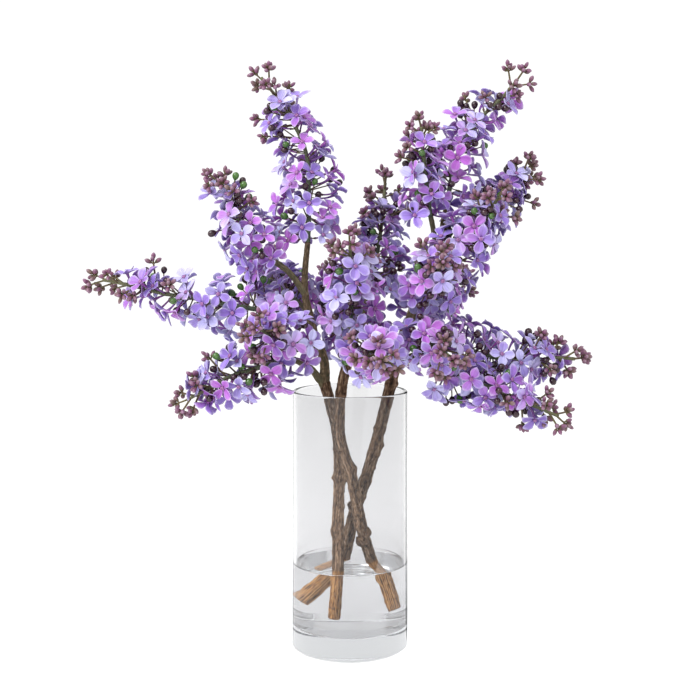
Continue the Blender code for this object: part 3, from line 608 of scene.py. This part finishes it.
for number, (name, stem) in enumerate(STEMS.items()):
    piece = Piece(name + "_bark")
    trunk = stem_line(name)
    draw = random.Random(90 + number)
    knots = []
    for i, share in enumerate(KNOT_SHARES):
        knots.append((share, aimed(*across(trunk.at(share)[1]), 2.4 * i + 0.7), *KNOT_SIZE))
    for height, direction, lift, spread in SCARS[name]:
        knots.append((share_at(trunk, height * MM), Vector(direction).normalized(), lift * MM,
                      spread * MM))
    for i in range(SMALL_KNOTS):
        spin = draw.uniform(0, 6.28)
        knots.append((0.16 + 0.2 * i + draw.uniform(-0.05, 0.05),
                      aimed(*across(trunk.at(0.2 + 0.2 * i)[1]), spin),
                      draw.uniform(0.8, 1.5) * MM, 2.4 * MM))
    wood(piece, trunk, stem["radii"], BARK_SIDES, 7 + number, knots)
    for height, direction, size in RESTING_BUDS[name]:
        share = share_at(trunk, height * MM)
        point, along = arrays(*trunk.at(share))
        out = np.array(direction) - along * along.dot(direction)
        out /= np.linalg.norm(out)
        radius = stem["radii"][0] + (stem["radii"][1] - stem["radii"][0]) * share
        resting_bud(piece, point + out * radius * 0.82, along, out, size * MM)
    for head, shoot in SHOOTS.items():
        if shoot["stem"] == name:
            twig, _ = shoot_lines(shoot)
            slim = 1 - min(1.0, (shoot["radii"][0] / MM - 2.4) / 2)
            wood(piece, twig, shoot["radii"], TWIG_SIDES, len(head) + number, (), 0.25 + 0.5 * slim)
    made = piece.make([bark])
    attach(made, "root")
    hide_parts(name)

# The flower heads. Each is a grey-green rachis with whorls of four-petalled florets on long mauve
# tubes, round unopened flowers on stalks between them, and fans of mauve buds out to its tip.
RACHIS_RADIUS = 1.9 * MM
RACHIS_TIP_RADIUS = 1.0 * MM
CORE_RADIUS = 8 * MM
CORE_END = 0.9
FLORET_REACH = 29 * MM
FLORET_RADIUS = 16 * MM
FLORET_SCATTER = 0.32
FLORET_ZONE = 0.78
BERRY_RADIUS = 2.9 * MM
CLUSTER_RADIUS = 7.5 * MM
CLUSTER_SEATS = ((0.98, 78, 12 * MM), (0.86, 48, 15 * MM), (0.75, 38, 18 * MM))
BERRY_SEATS = ((0.2, 35, 18 * MM), (0.5, 35, 18 * MM))
FLORET_START = 0.03
HEAD_TAPER = 0.4
HEAD_TURN = 1.7
CLUSTER_TURN = 0.8
BERRY_TURN = 2.1
TWIG_CLEARANCE = 0.6 * MM
STEM_CLEARANCE = 1.2
STALK_ENDS = {"clusters": CLUSTER_RADIUS, "berries": BERRY_RADIUS}
CLUSTER_SHARE = 0.7
BERRY_SHARE = 0.8
GOLDEN_ANGLE = math.radians(137.5)
BOUQUET_MIDDLE = Vector((0, 0, 290)) * MM
WOOD, RIM = -1, -2
RIM_BALLS = 120
TRIES = 14
SEED = 41


class Thicket:
    """Balls that stand for all that has grown so far, so that what grows next keeps clear of it."""

    def __init__(self):
        self.balls = np.zeros((0, 4))
        self.owners = np.zeros(0, int)
        self.joined = np.zeros(0, bool)

    def add(self, balls, owner, joined=False):
        """Takes in balls for this node. Where joined, what else grows on it may cross them."""
        self.balls = np.vstack([self.balls, balls])
        self.owners = np.append(self.owners, [owner] * len(balls))
        self.joined = np.append(self.joined, [joined] * len(balls))

    def clear(self, balls, owner, own_share):
        """True if the balls touch no other node's and cross their own's by under 1 - own_share."""
        share = np.where(self.owners == owner, np.where(self.joined, 0, own_share), 1)
        for x, y, z, radius in balls:
            reach = (self.balls[:, 3] + radius) * share
            if (((self.balls[:, :3] - (x, y, z)) ** 2).sum(axis=1) < reach * reach).any():
                return False
        return True


def balls_along(start, end, radius):
    """Balls of this radius from start to end."""
    count = max(1, math.ceil((end - start).length / (1.5 * radius)))
    return [(*start.lerp(end, i / count), radius) for i in range(count + 1)]


PETAL_BALLS = ((0.4, 0), (0.82, 0), (0.66, 0.38), (0.66, -0.38))


def floret_balls(floret):
    """Four balls a petal, one for the middle, and small ones down the outer half of the tube."""
    centre, facing, side, radius = (floret[k] for k in ("centre", "facing", "side", "radius"))
    balls = [(*centre, 0.2 * radius)]
    for k in range(4):
        for share, turn in PETAL_BALLS:
            flat = aimed(side, facing.cross(side), k * math.pi / 2 + turn) * share * radius
            lift = facing * floret["cup"] * share * share * radius
            balls.append((*(centre + flat + lift), 0.17 * radius))
    return balls + balls_along(centre, floret["root"].lerp(centre, 0.55), 1.7 * MM)


def arm_from(head, place, angle, lean):
    """Where an arm leaves the rachis, and the way it points, leaning ahead by this much."""
    root, ahead = head["line"].at(place)
    return root, aimed(aimed(*across(ahead), angle), ahead, lean)


def place_floret(head, share, turn, reach, rng, thicket, own_share, size, scatter):
    """Gives the head a floret, turned and shortened until it is clear, unless no try is."""
    for attempt in range(TRIES):
        place = share + rng.uniform(-0.03, 0.03)
        angle = turn + rng.uniform(-0.25, 0.25) * (1 + 0.3 * attempt)
        lean = math.radians(-5 + 50 * place / FLORET_ZONE + rng.uniform(-12, 12))
        root, arm = arm_from(head, place, angle, lean)
        centre = root + arm * reach * rng.uniform(0.86, 1.06) * (1 - 0.03 * attempt)
        away = (centre - BOUQUET_MIDDLE).normalized()
        stray = Vector([rng.uniform(-1, 1) for _ in range(3)])
        facing = (arm + away * 0.45 + UP * 0.1 + stray * scatter).normalized()
        floret = {
            "centre": centre, "root": root, "facing": facing,
            "side": aimed(*across(facing), rng.uniform(0, math.pi / 2)),
            "radius": size * rng.uniform(0.88, 1.07),
            "cup": rng.uniform(-0.02, 0.2),
        }
        balls = floret_balls(floret)
        if thicket.clear(balls, head["number"], own_share):
            thicket.add(balls, head["number"])
            head["florets"].append(floret)
            return


def place_stalk(head, kind, share, turn, lean, reach, rng, thicket, own_share):
    """Gives the head a stalk that ends in a bud cluster or a berry, unless no try is clear."""
    for attempt in range(TRIES):
        place = share + rng.uniform(-0.02, 0.02)
        angle = turn + rng.uniform(-0.3, 0.3) * (1 + 0.3 * attempt)
        root, arm = arm_from(head, place, angle, math.radians(lean + rng.uniform(-8, 8)))
        end = root + arm * reach * rng.uniform(0.85, 1.1) * (1 - 0.03 * attempt)
        balls = balls_along(root.lerp(end, 0.6), end, 1.1 * MM) + [(*end, STALK_ENDS[kind])]
        if thicket.clear(balls, head["number"], own_share):
            thicket.add(balls, head["number"])
            stalk = {"root": root, "end": end, "along": arm}
            if kind == "clusters":
                # The frame draws a length for each of its four buds. These draws keep step.
                stalk["spin"] = rng.uniform(0, 2 * math.pi)
                for _ in range(4):
                    rng.random()
            head[kind].append(stalk)
            return


def core_radius(share):
    """The rachis's radius, thickened where the florets stand so closely that they hide it."""
    bare = RACHIS_RADIUS + (RACHIS_TIP_RADIUS - RACHIS_RADIUS) * share
    filled = max(0.0, math.sin(math.pi * min(share / CORE_END, 1.0) ** 0.6)) ** 0.5
    return bare + (CORE_RADIUS - bare) * filled


heads = []
thicket = Thicket()
rim_balls = [(math.cos(a) * (VASE_RADIUS - rim), math.sin(a) * (VASE_RADIUS - rim),
              VASE_HEIGHT - level * 3 * MM, 2 * MM)
             for level in range(5) for a in (2 * math.pi * i / RIM_BALLS for i in range(RIM_BALLS))]
wood_balls = []
for number, (name, shoot) in enumerate(SHOOTS.items()):
    twig, rachis = shoot_lines(shoot)
    thicket.add([(*rachis.at(i / 40)[0], core_radius(i / 40)) for i in range(41)], number, True)
    wood_balls += [(*p, shoot["radii"][0] + TWIG_CLEARANCE) for p in twig.even(20)]
    heads.append({"name": name, "number": number, "line": rachis, "count": shoot["florets"],
                  "girth": shoot["girth"], "phase": HEAD_TURN * number, "florets": [],
                  "berries": [], "clusters": []})
for name, stem in STEMS.items():
    wood_balls += [(*p, stem["radii"][0] * STEM_CLEARANCE) for p in stem_line(name).even(60)]
thicket.add(wood_balls, WOOD)
thicket.add(rim_balls, RIM)

# The frame's own florets, bud clusters and berries come first, by the rule that placed them there:
# one on each head in turn, so that none is crowded out.
rng = random.Random(SEED)
for i in range(max(head["count"] for head in heads)):
    for head in heads:
        if i < head["count"]:
            share = FLORET_START + (FLORET_ZONE - FLORET_START) * (i + 0.5) / head["count"]
            reach = FLORET_REACH * head["girth"] * (1 - HEAD_TAPER * share / FLORET_ZONE)
            place_floret(head, share, head["phase"] + i * GOLDEN_ANGLE, reach, rng, thicket, 1.0,
                         FLORET_RADIUS, FLORET_SCATTER)
for kind, seats, start, own_share in (("clusters", CLUSTER_SEATS, CLUSTER_TURN, CLUSTER_SHARE),
                                      ("berries", BERRY_SEATS, BERRY_TURN, BERRY_SHARE)):
    for i, (share, lean, reach) in enumerate(seats):
        for head in heads:
            turn = head["phase"] + start + i * GOLDEN_ANGLE
            place_stalk(head, kind, share, turn, lean, reach, rng, thicket, own_share)

# The open flowers. Each large floret of the frame is drawn at its true size of 22 to 25 mm across,
# and more of the same size fill the gaps between them, as closely as they grow on the real heads.
TRUE_RADIUS = 12.6 * MM
RACHIS_CLEARANCE = 0.5 * MM
TIP_SEATS = ((1.0, 62, 9), (0.97, 66, 15), (0.92, 40, 17), (0.87, 34, 20), (0.8, 30, 23),
             (0.7, 24, 27), (0.94, 52, 16), (0.6, 20, 30))
TIP_TURN = 2.0
BERRY_FANS = ((0.1, 29), (0.3, 29), (0.5, 27), (0.68, 23))
FAN_SIZE = 5
FAN_TURN = 0.9
FAN_SHARE = 0.85
FILL_ROUNDS = 48
FILL_SHARE = 0.55
FILL_SCATTER = 0.6
FILL_TURN = 1.1
GOLDEN_SHARE = 0.618
filled = Thicket()
filled.add(wood_balls, WOOD)
filled.add(rim_balls, RIM)
for head in heads:
    filled.add([(*p, RACHIS_RADIUS + RACHIS_CLEARANCE) for p in head["line"].even(40)],
               head["number"], True)
    for floret in head["florets"]:
        floret["radius"] *= TRUE_RADIUS / FLORET_RADIUS
        filled.add(floret_balls(floret), head["number"])
    for cluster in head["clusters"]:
        filled.add([(*cluster["end"], 0.8 * CLUSTER_RADIUS)], head["number"])
    for berry in head["berries"]:
        filled.add([(*berry["end"], BERRY_RADIUS)], head["number"])
rng = random.Random(SEED + 1)
for i, (share, lean, reach) in enumerate(TIP_SEATS):
    for head in heads:
        place_stalk(head, "clusters", share, head["phase"] + TIP_TURN + i * GOLDEN_ANGLE, lean,
                    reach * MM * max(0.8, head["girth"]), rng, filled, CLUSTER_SHARE)
for fan, (share, reach) in enumerate(BERRY_FANS):
    for head in heads:
        turn = head["phase"] + FAN_TURN + fan * GOLDEN_ANGLE
        for i in range(FAN_SIZE):
            place_stalk(head, "berries", share + 0.015 * i, turn + 0.25 * i, 15 + 9 * i,
                        reach * MM * head["girth"], rng, filled, FAN_SHARE)
for i in range(FILL_ROUNDS):
    for head in heads:
        share = 0.02 + (FLORET_ZONE + 0.02) * ((i * GOLDEN_SHARE + 0.1 * head["number"]) % 1)
        taper = 1 - HEAD_TAPER * share / FLORET_ZONE
        reach = FLORET_REACH * head["girth"] * taper * (1.1 - 0.3 * (i / FILL_ROUNDS) ** 2)
        place_floret(head, share, head["phase"] + FILL_TURN + i * 2.4 * GOLDEN_ANGLE, reach, rng,
                     filled, FILL_SHARE, TRUE_RADIUS, FILL_SCATTER)

PETAL_ROWS, PETAL_COLUMNS = 6, 7
PETAL_SIZE = PETAL_ROWS * PETAL_COLUMNS
PETAL_HALF_WIDTH = 0.335
PETAL_THICKNESS = 0.3 * MM
THROAT = 1.2 * MM
DOME_SIDES = 12
DOME_RINGS = ((1.5, -1.2), (1.65, 0.1), (1.1, 0.8))
# Painted shade and light on the throat: its lowest ring and the opening at its middle are darkened,
# and its top ring is lightened.
DOME_PAINTED_SHADING = (0.7, 1.0, 1.1, 0.5)
TUBE_STEPS = 13
TUBE_LENGTH = 13 * MM
TUBE_SIDES, STALK_SIDES, BUD_SIDES, BERRY_SIDES, RACHIS_SIDES = 7, 6, 8, 9, 12
STALK_STEPS = 6
BERRY_RINGS = 9
RACHIS_RING = 2.2 * MM
RACHIS_NODES = 17

grid = np.arange(PETAL_SIZE).reshape(PETAL_ROWS, PETAL_COLUMNS)
petal_faces = []
quads = np.stack([grid[:-1, :-1], grid[1:, :-1], grid[1:, 1:], grid[:-1, 1:]], axis=-1)
for quad in quads.reshape(-1, 4):
    petal_faces += [tuple(quad.tolist()), tuple((PETAL_SIZE + quad[::-1]).tolist())]
edge = np.concatenate([grid[0], grid[1:, -1], grid[-1, -2::-1], grid[-2:0:-1, 0]]).tolist()
petal_faces += [(a, b, b + PETAL_SIZE, a + PETAL_SIZE) for a, b in zip(edge, edge[1:] + edge[:1])]
along_petal, across_petal = (values.ravel() for values in np.meshgrid(
    1 - (1 - np.linspace(0, 1, PETAL_ROWS)) ** 1.5, np.linspace(-1, 1, PETAL_COLUMNS),
    indexing="ij"))
swell = 0.12 + 0.17 * (1 - along_petal) + 0.86 * np.sin(math.pi * along_petal ** 1.3).clip(0) ** 0.8

last = (len(DOME_RINGS) - 1) * DOME_SIDES
dome_faces = bands(len(DOME_RINGS), DOME_SIDES)
dome_faces += [(last + i, last + (i + 1) % DOME_SIDES, last + DOME_SIDES)
               for i in range(DOME_SIDES)]
dome_faces.append(tuple(reversed(range(DOME_SIDES))))
dome_painted_shading = np.repeat(DOME_PAINTED_SHADING, (DOME_SIDES, DOME_SIDES, DOME_SIDES, 1))[:, None]

PETALS, STALKS, BUDS, BERRIES = range(4)
LAVENDER, PALE, ORCHID, VIOLET, ROSE, MAUVE, MAROON, OLIVE, SAGE, BUD_MAUVE, BUD_TIP, WINE, LEAF = (
    np.array(linear(colour)) for colour in (
        "#8760C4", "#BFBCEA", "#AC4CBE", "#62339C", "#9C689C", "#8A5690", "#4A2231", "#686040",
        "#5C6C54", "#70405F", "#9C8096", "#260A16", "#46702C"))
FIRST_TINTS = (LAVENDER, LAVENDER, PALE, PALE, ORCHID, ORCHID, VIOLET)
SECOND_TINTS = (ORCHID, ORCHID, LAVENDER, LAVENDER, PALE, VIOLET)


def mixed(first, second, share):
    """A blend of two tints, for one share or an array of them."""
    share = np.asarray(share, float)[..., None]
    return first * (1 - share) + second * share


def bend(start, pull, end, count):
    """Points on the curve from start to end that leaves start towards pull."""
    t = np.linspace(0, 1, count)[:, None]
    return start * (1 - t) ** 2 + 2 * pull * t * (1 - t) + end * t ** 2


def draw_floret(piece, floret, rng):
    """Four cupped petals, the four-lobed throat, the flared tube, and the calyx on its stalk."""
    centre, facing, side, root = arrays(*(floret[k] for k in ("centre", "facing", "side", "root")))
    other = np.cross(facing, side)
    radius, age = floret["radius"], rng.random()
    first, second = rng.choice(FIRST_TINTS), rng.choice(SECOND_TINTS)
    first, second = (tint * rng.uniform(0.85, 1.12) for tint in (first, second))
    wash_turn, bias = rng.uniform(0, 2 * math.pi), rng.uniform(-0.7, 0.7)
    x, y = np.eye(2)
    u, v = along_petal, across_petal
    for k in range(4):
        turn = k * math.pi / 2 + rng.uniform(-0.13, 0.13)
        length = (radius - THROAT) * rng.uniform(0.93, 1.05)
        half = PETAL_HALF_WIDTH * radius * rng.uniform(0.9, 1.08) * swell
        cup = floret["cup"] + rng.uniform(-0.10, 0.14)
        curl, twist = rng.uniform(-0.16, 0.10), rng.uniform(-0.22, 0.22)
        sway, fold = rng.uniform(-0.08, 0.08), rng.uniform(0.22, 0.62)
        rise = length * (cup * u ** 1.6 + curl * u ** 4 - 0.10 * (1 - u) ** 3)
        rise += half * (fold * np.abs(v) ** 1.5 + twist * u * v)
        rise -= 0.22 * MM * np.exp(-(v / 0.25) ** 2)
        rise += 0.18 * MM * np.sin(5 * u + 9 * age) * v * v
        reach = (THROAT + length * u - half * 0.12 * v * v * u)[:, None]
        shift = (half * v + sway * length * u * u)[:, None]
        top = (centre + reach * aimed(side, other, turn) + shift * aimed(other, -side, turn)
               + rise[:, None] * facing)
        flat = (reach * aimed(x, y, turn) + shift * aimed(y, -x, turn)) / radius
        wash = 0.5 + 0.5 * np.tanh(1.6 * (flat @ aimed(x, y, wash_turn)) + bias)
        tints = mixed(mixed(first, second, wash), PALE, np.clip(0.10 + 0.25 * u * age, 0, 1))
        places = np.column_stack([u, v, np.full(PETAL_SIZE, 10 * age + 3.1 * k)])
        piece.add(np.concatenate([top, top - facing * PETAL_THICKNESS]), petal_faces, PETALS,
                  np.concatenate([tints, 0.92 * tints]), np.concatenate([places, places]))
    angles = 2 * math.pi * np.arange(DOME_SIDES)[:, None] / DOME_SIDES
    spokes = (np.cos(angles) * side + np.sin(angles) * other) * (1 + 0.26 * np.cos(4 * angles)) * MM
    dome = [centre + spokes * r + facing * h * MM for r, h in DOME_RINGS]
    dome.append([centre + facing * 0.25 * MM])
    piece.add(np.concatenate(dome), dome_faces, PETALS, ROSE * dome_painted_shading, (0.4, 0.3, age))
    pull = min(9 * MM, 0.5 * float(np.linalg.norm(root - centre)))
    path = bend(centre - facing * 0.6 * MM, centre - facing * pull, root, TUBE_STEPS)
    marks = np.concatenate([[0], np.cumsum(np.linalg.norm(np.diff(path, axis=0), axis=1))])
    end = min(max(3, int(np.searchsorted(marks, TUBE_LENGTH))), TUBE_STEPS - 3)
    flare = 0.75 + 0.95 * np.exp(-marks[:end + 1] / (3.2 * MM))
    blend = np.repeat(marks[:end + 1] / marks[end], TUBE_SIDES)
    piece.tube(path[:end + 1], flare * MM, TUBE_SIDES, PETALS,
               mixed(mixed(MAUVE, first, 0.45), MAROON, 0.45 * blend ** 2), (0.4, 0.3, age))
    width = np.full(TUBE_STEPS - end, 0.5)
    width[:2] = 1.15, 0.85
    piece.tube(path[end:], width * MM, STALK_SIDES, STALKS, mixed(MAROON, OLIVE, age))


def draw_bud(piece, foot, aim, length, girth, rng):
    """A closed bud: its stalk and calyx, and the ovoid of folded petals, paler at the tip."""
    profile = ((0, 0.62), (0.18, 0.6), (0.27, 1.05), (0.36, 1.5), (0.5, girth * 0.93),
               (0.66, girth), (0.82, girth * 0.82), (0.94, girth * 0.45), (1.0, 0.25))
    share = np.repeat([s for s, _ in profile], BUD_SIDES)
    warm = rng.random()
    tints = mixed(mixed(BUD_MAUVE, OLIVE, 0.65 * warm ** 2), BUD_TIP,
                  np.clip((share - 0.75) * 2.6, 0, 0.7))
    tints = np.where((share < 0.4)[:, None], mixed(OLIVE, MAROON, 0.6 * warm), tints)
    piece.tube([foot + aim * length * s for s, _ in profile], [r * MM for _, r in profile],
               BUD_SIDES, [STALKS] * 3 * BUD_SIDES + [BUDS] * 5 * BUD_SIDES + [STALKS, BUDS], tints)


def draw_cluster(piece, cluster, rng):
    """Five to seven closed buds round the end of a thin branchlet."""
    along = cluster["along"]
    root, end, along, side, other = arrays(cluster["root"], cluster["end"], along, *across(along))
    middle = (root + end) / 2 + (side + other) * rng.uniform(-1, 1) * MM
    piece.tube(bend(root, middle, end, STALK_STEPS), np.linspace(0.95, 0.75, STALK_STEPS) * MM,
               STALK_SIDES, STALKS, mixed(OLIVE, MAROON, 0.5 * rng.random()))
    count = rng.choice((5, 6, 6, 7))
    for i in range(count):
        if i == count - 1:
            aim = along + 0.2 * (side * rng.uniform(-1, 1) + other * rng.uniform(-1, 1))
            foot = end - along * 0.5 * MM
        else:
            angle = cluster["spin"] + 2 * math.pi * i / (count - 1) + rng.uniform(-0.2, 0.2)
            aim = along * rng.uniform(0.45, 0.75) + aimed(side, other, angle)
            foot = end - along * (1.0 + 1.8 * (i % 2)) * MM
        aim = aim / np.linalg.norm(aim)
        draw_bud(piece, foot, aim, rng.uniform(6.6, 8.6) * MM, rng.uniform(1.6, 2.05), rng)


def draw_berry(piece, berry, rng):
    """A round unopened flower, glossy and wine-dark or green, on its stalk."""
    along = berry["along"]
    root, end, along, side, _ = arrays(berry["root"], berry["end"], along, *across(along))
    middle = (root + end) / 2 + side * rng.uniform(-1.5, 1.5) * MM
    low, high = (LEAF, WINE) if rng.random() < 0.2 else (WINE, MAROON)
    piece.tube(bend(root, middle, end - along * BERRY_RADIUS, STALK_STEPS),
               np.linspace(0.7, 0.55, STALK_STEPS) * MM, STALK_SIDES, STALKS,
               mixed(MAROON, OLIVE, 0.8 * rng.random()))
    radius = BERRY_RADIUS * rng.uniform(0.95, 1.12)
    rise = np.linspace(0.0, 0.94, BERRY_RINGS)
    lift = -np.cos(math.pi * rise) * radius * np.where(rise < 0.5, 1.45, 1.02)
    width = np.maximum(np.sin(math.pi * rise) ** np.where(rise < 0.5, 1.35, 1.0), 0.22) * radius
    piece.tube(end + np.outer(lift, along), width, BERRY_SIDES, BERRIES,
               mixed(low, high, np.repeat(rise, BERRY_SIDES) ** 3 * 0.5), (0, 0, rng.random() * 9))


def draw_rachis(piece, head):
    """The main stalk of the head, ringed where its flowers spring from it."""
    path, marks = fine(head["line"], RACHIS_RING)
    share = marks / marks[-1]
    width = RACHIS_RADIUS * 1.15 + (RACHIS_TIP_RADIUS - RACHIS_RADIUS) * share
    off = np.abs((marks / (RACHIS_NODES * MM) + 0.5) % 1 - 0.5) * RACHIS_NODES
    piece.tube(path, width * (1 + 0.22 * np.exp(-(off / 1.6) ** 2)), RACHIS_SIDES, STALKS,
               mixed(SAGE, OLIVE, np.repeat(share, RACHIS_SIDES) * 0.7))


# Lilac petals: thin, soft and satin. The tints wash from lavender to orchid within a floret, and
# each petal has painted light along its rim and painted shade along its crease, and is faintly
# veined lengthwise.
petal, tree, output = new_material("lilac_petal_satin")
tint = add_node(tree, "ShaderNodeAttribute", {"attribute_name": "tint"})
place = add_node(tree, "ShaderNodeAttribute", {"attribute_name": "place"})
parts = add_node(tree, "ShaderNodeSeparateXYZ", {}, {"Vector": place.outputs["Vector"]})
breadth = add_node(tree, "ShaderNodeMath", {"operation": "ABSOLUTE"}, {0: parts.outputs["Y"]})
outer = add_node(tree, "ShaderNodeMath", {"operation": "MAXIMUM"},
                 {0: parts.outputs["X"], 1: breadth})
# Painted light: each petal is lightened towards its rim, as a glow at its edges.
painted_rim_light = add_node(tree, "ShaderNodeMapRange",
                    {"interpolation_type": "SMOOTHSTEP", "From Min": 0.7, "From Max": 1.0,
                     "To Min": 0.0, "To Max": 0.5},
                    {"Value": outer})
vein_scale = add_node(tree, "ShaderNodeVectorMath", {"operation": "MULTIPLY", 1: (1.2, 7.0, 1.0)},
                      {0: place.outputs["Vector"]})
veins = add_node(tree, "ShaderNodeTexNoise", {"Scale": 1.0, "Detail": 3.0, "Roughness": 0.6},
                 {"Vector": vein_scale})
vein_tone = add_node(tree, "ShaderNodeMapRange",
                     {"From Min": 0.3, "From Max": 0.7, "To Min": 0.84, "To Max": 1.1},
                     {"Value": veins})
# Painted shade: each petal is darkened along its middle crease.
painted_crease_shade = add_node(tree, "ShaderNodeMapRange",
                  {"interpolation_type": "SMOOTHSTEP", "From Min": 0.0, "From Max": 0.22,
                   "To Min": 0.88, "To Max": 1.0},
                  {"Value": breadth})
shade = add_node(tree, "ShaderNodeMath", {"operation": "MULTIPLY"}, {0: vein_tone, 1: painted_crease_shade})
paint = add_node(tree, "ShaderNodeVectorMath", {"operation": "SCALE"}, {0: tint, "Scale": shade})
# The pale lilac of the painted rim light.
colour_with_painted_rim_light = add_node(tree, "ShaderNodeMix", {"data_type": "RGBA", 7: (*linear("#DAD4EC"), 1)},
                  {0: painted_rim_light, 6: paint})
relief = add_node(tree, "ShaderNodeBump", {"Strength": 0.35, "Distance": 0.3 * MM},
                  {"Height": veins})
shader = add_node(tree, "ShaderNodeBsdfPrincipled",
                  {"Roughness": 0.46, "Specular IOR Level": 0.45, "Sheen Weight": 0.1,
                   "Sheen Roughness": 0.4},
                  {"Base Color": colour_with_painted_rim_light.outputs[2], "Normal": relief})
tree.links.new(shader.outputs["BSDF"], output.inputs["Surface"])


def plant_finish(name, roughness, specular, low, high, scale, relief_mm):
    """A plant skin: its tint, mottled between two tones, with a fine relief."""
    made, tree, output = new_material(name)
    tint = add_node(tree, "ShaderNodeAttribute", {"attribute_name": "tint"})
    place = add_node(tree, "ShaderNodeTexCoord")
    mottle = add_node(tree, "ShaderNodeTexNoise", {"Scale": scale, "Detail": 4.0},
                      {"Vector": place.outputs["Object"]})
    tone = add_node(tree, "ShaderNodeMapRange",
                    {"From Min": 0.3, "From Max": 0.7, "To Min": low, "To Max": high},
                    {"Value": mottle})
    paint = add_node(tree, "ShaderNodeVectorMath", {"operation": "SCALE"}, {0: tint, "Scale": tone})
    relief = add_node(tree, "ShaderNodeBump", {"Strength": 0.4, "Distance": relief_mm * MM},
                      {"Height": mottle})
    shader = add_node(tree, "ShaderNodeBsdfPrincipled",
                      {"Roughness": roughness, "Specular IOR Level": specular},
                      {"Base Color": paint, "Normal": relief})
    tree.links.new(shader.outputs["BSDF"], output.inputs["Surface"])
    return made


# Green stalks are matt and mottled, folded buds are satin, and the round closed flowers are waxy.
green_stalk = plant_finish("green_stalk_skin", 0.65, 0.35, 0.72, 1.2, 700, 0.3)
bud_skin = plant_finish("folded_bud_satin", 0.45, 0.45, 0.8, 1.15, 500, 0.25)
waxy_berry = plant_finish("waxy_berry_skin", 0.22, 0.6, 0.75, 1.15, 350, 0.1)

for head in heads:
    piece = Piece(head["name"] + "_flowers")
    draw = random.Random(300 + head["number"])
    draw_rachis(piece, head)
    for floret in head["florets"]:
        draw_floret(piece, floret, draw)
    for cluster in head["clusters"]:
        draw_cluster(piece, cluster, draw)
    for berry in head["berries"]:
        draw_berry(piece, berry, draw)
    made = piece.make([petal, green_stalk, bud_skin, waxy_berry])
    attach(made, "root")
    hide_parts(head["name"])

# The studio: a matt white sweep under even white light, with a large soft light above the left.
paper, tree, output = new_material("matt_white_paper")
fibre = add_node(tree, "ShaderNodeTexNoise", {"Scale": 300.0})
shade = add_node(tree, "ShaderNodeMapRange", {"To Min": 0.93, "To Max": 0.96}, {"Value": fibre})
shader = add_node(tree, "ShaderNodeBsdfPrincipled", {"Roughness": 0.9, "Specular IOR Level": 0.1},
                  {"Base Color": shade})
tree.links.new(shader.outputs["BSDF"], output.inputs["Surface"])
floor = new_mesh("floor", [(-3, -3, 0), (3, -3, 0), (3, 3, 0), (-3, 3, 0)], [(0, 1, 2, 3)], [paper])

world = bpy.data.worlds.new("white_studio")
world.use_nodes = True
world.node_tree.nodes["Background"].inputs["Color"].default_value = (1, 1, 1, 1)
world.node_tree.nodes["Background"].inputs["Strength"].default_value = 1.08
bpy.context.scene.world = world

lamp = bpy.data.lights.new("key", "AREA")
lamp.size, lamp.energy = 1.2, 30
key = new_object("key", lamp)
key.location = (-0.9, -1.0, 1.5)
key.rotation_euler = (Vector((0, 0, 0.3)) - key.location).to_track_quat("-Z", "Y").to_euler()

# Two dark cards, out of the camera's sight, are mirrored as thin dark lines at the glass's edges.
# Each spreads on the floor from the vase's side and stands up behind it.
CARD_HEIGHT = 0.5
CARD_REACH = 0.9
CARD_GAP = 3 * MM
CARD_LIFT = 1 * MM
felt, tree, output = new_material("black_felt")
shader = add_node(tree, "ShaderNodeBsdfPrincipled",
                  {"Base Color": (*linear("#23272C"), 1), "Roughness": 1.0})
tree.links.new(shader.outputs["BSDF"], output.inputs["Surface"])
for name, side, angles in (("card_left", -1, (16, 24)), ("card_right", 1, (13, 36))):
    near = (side * (VASE_RADIUS + CARD_GAP), 0.0, CARD_LIFT)
    inner, outer = ((near[0] + side * CARD_REACH * math.sin(math.radians(a)),
                     CARD_REACH * math.cos(math.radians(a))) for a in angles)
    card = new_mesh(name, [near, (*inner, CARD_LIFT), (*outer, CARD_LIFT), (*outer, CARD_HEIGHT),
                           (*inner, CARD_HEIGHT)], [(0, 1, 2), (1, 2, 3, 4)], [felt])
    card.visible_camera = card.visible_transmission = False
    card.visible_diffuse = card.visible_shadow = False

# The camera stands 1.04 m in front, level, about two thirds of the way up the bouquet.
CAMERA_DISTANCE = 1.04
CAMERA_HEIGHT = 0.353
HORIZON_PIXEL = 237
FOCAL_PIXELS = 1196
IMAGE_PIXELS = 700
lens = bpy.data.cameras.new("camera")
lens.sensor_width = 36
lens.lens = FOCAL_PIXELS * 36 / IMAGE_PIXELS
lens.shift_y = (HORIZON_PIXEL - IMAGE_PIXELS / 2) / IMAGE_PIXELS
lens.clip_start = 0.01
camera = new_object("camera", lens)
camera.location = (0, -CAMERA_DISTANCE, CAMERA_HEIGHT)
camera.rotation_euler = (math.pi / 2, 0, 0)
bpy.context.scene.camera = camera
bpy.context.scene.view_settings.view_transform = "Standard"
bpy.context.scene.cycles.max_bounces = 32
bpy.context.scene.cycles.transmission_bounces = 32
bpy.context.scene.cycles.glossy_bounces = 24
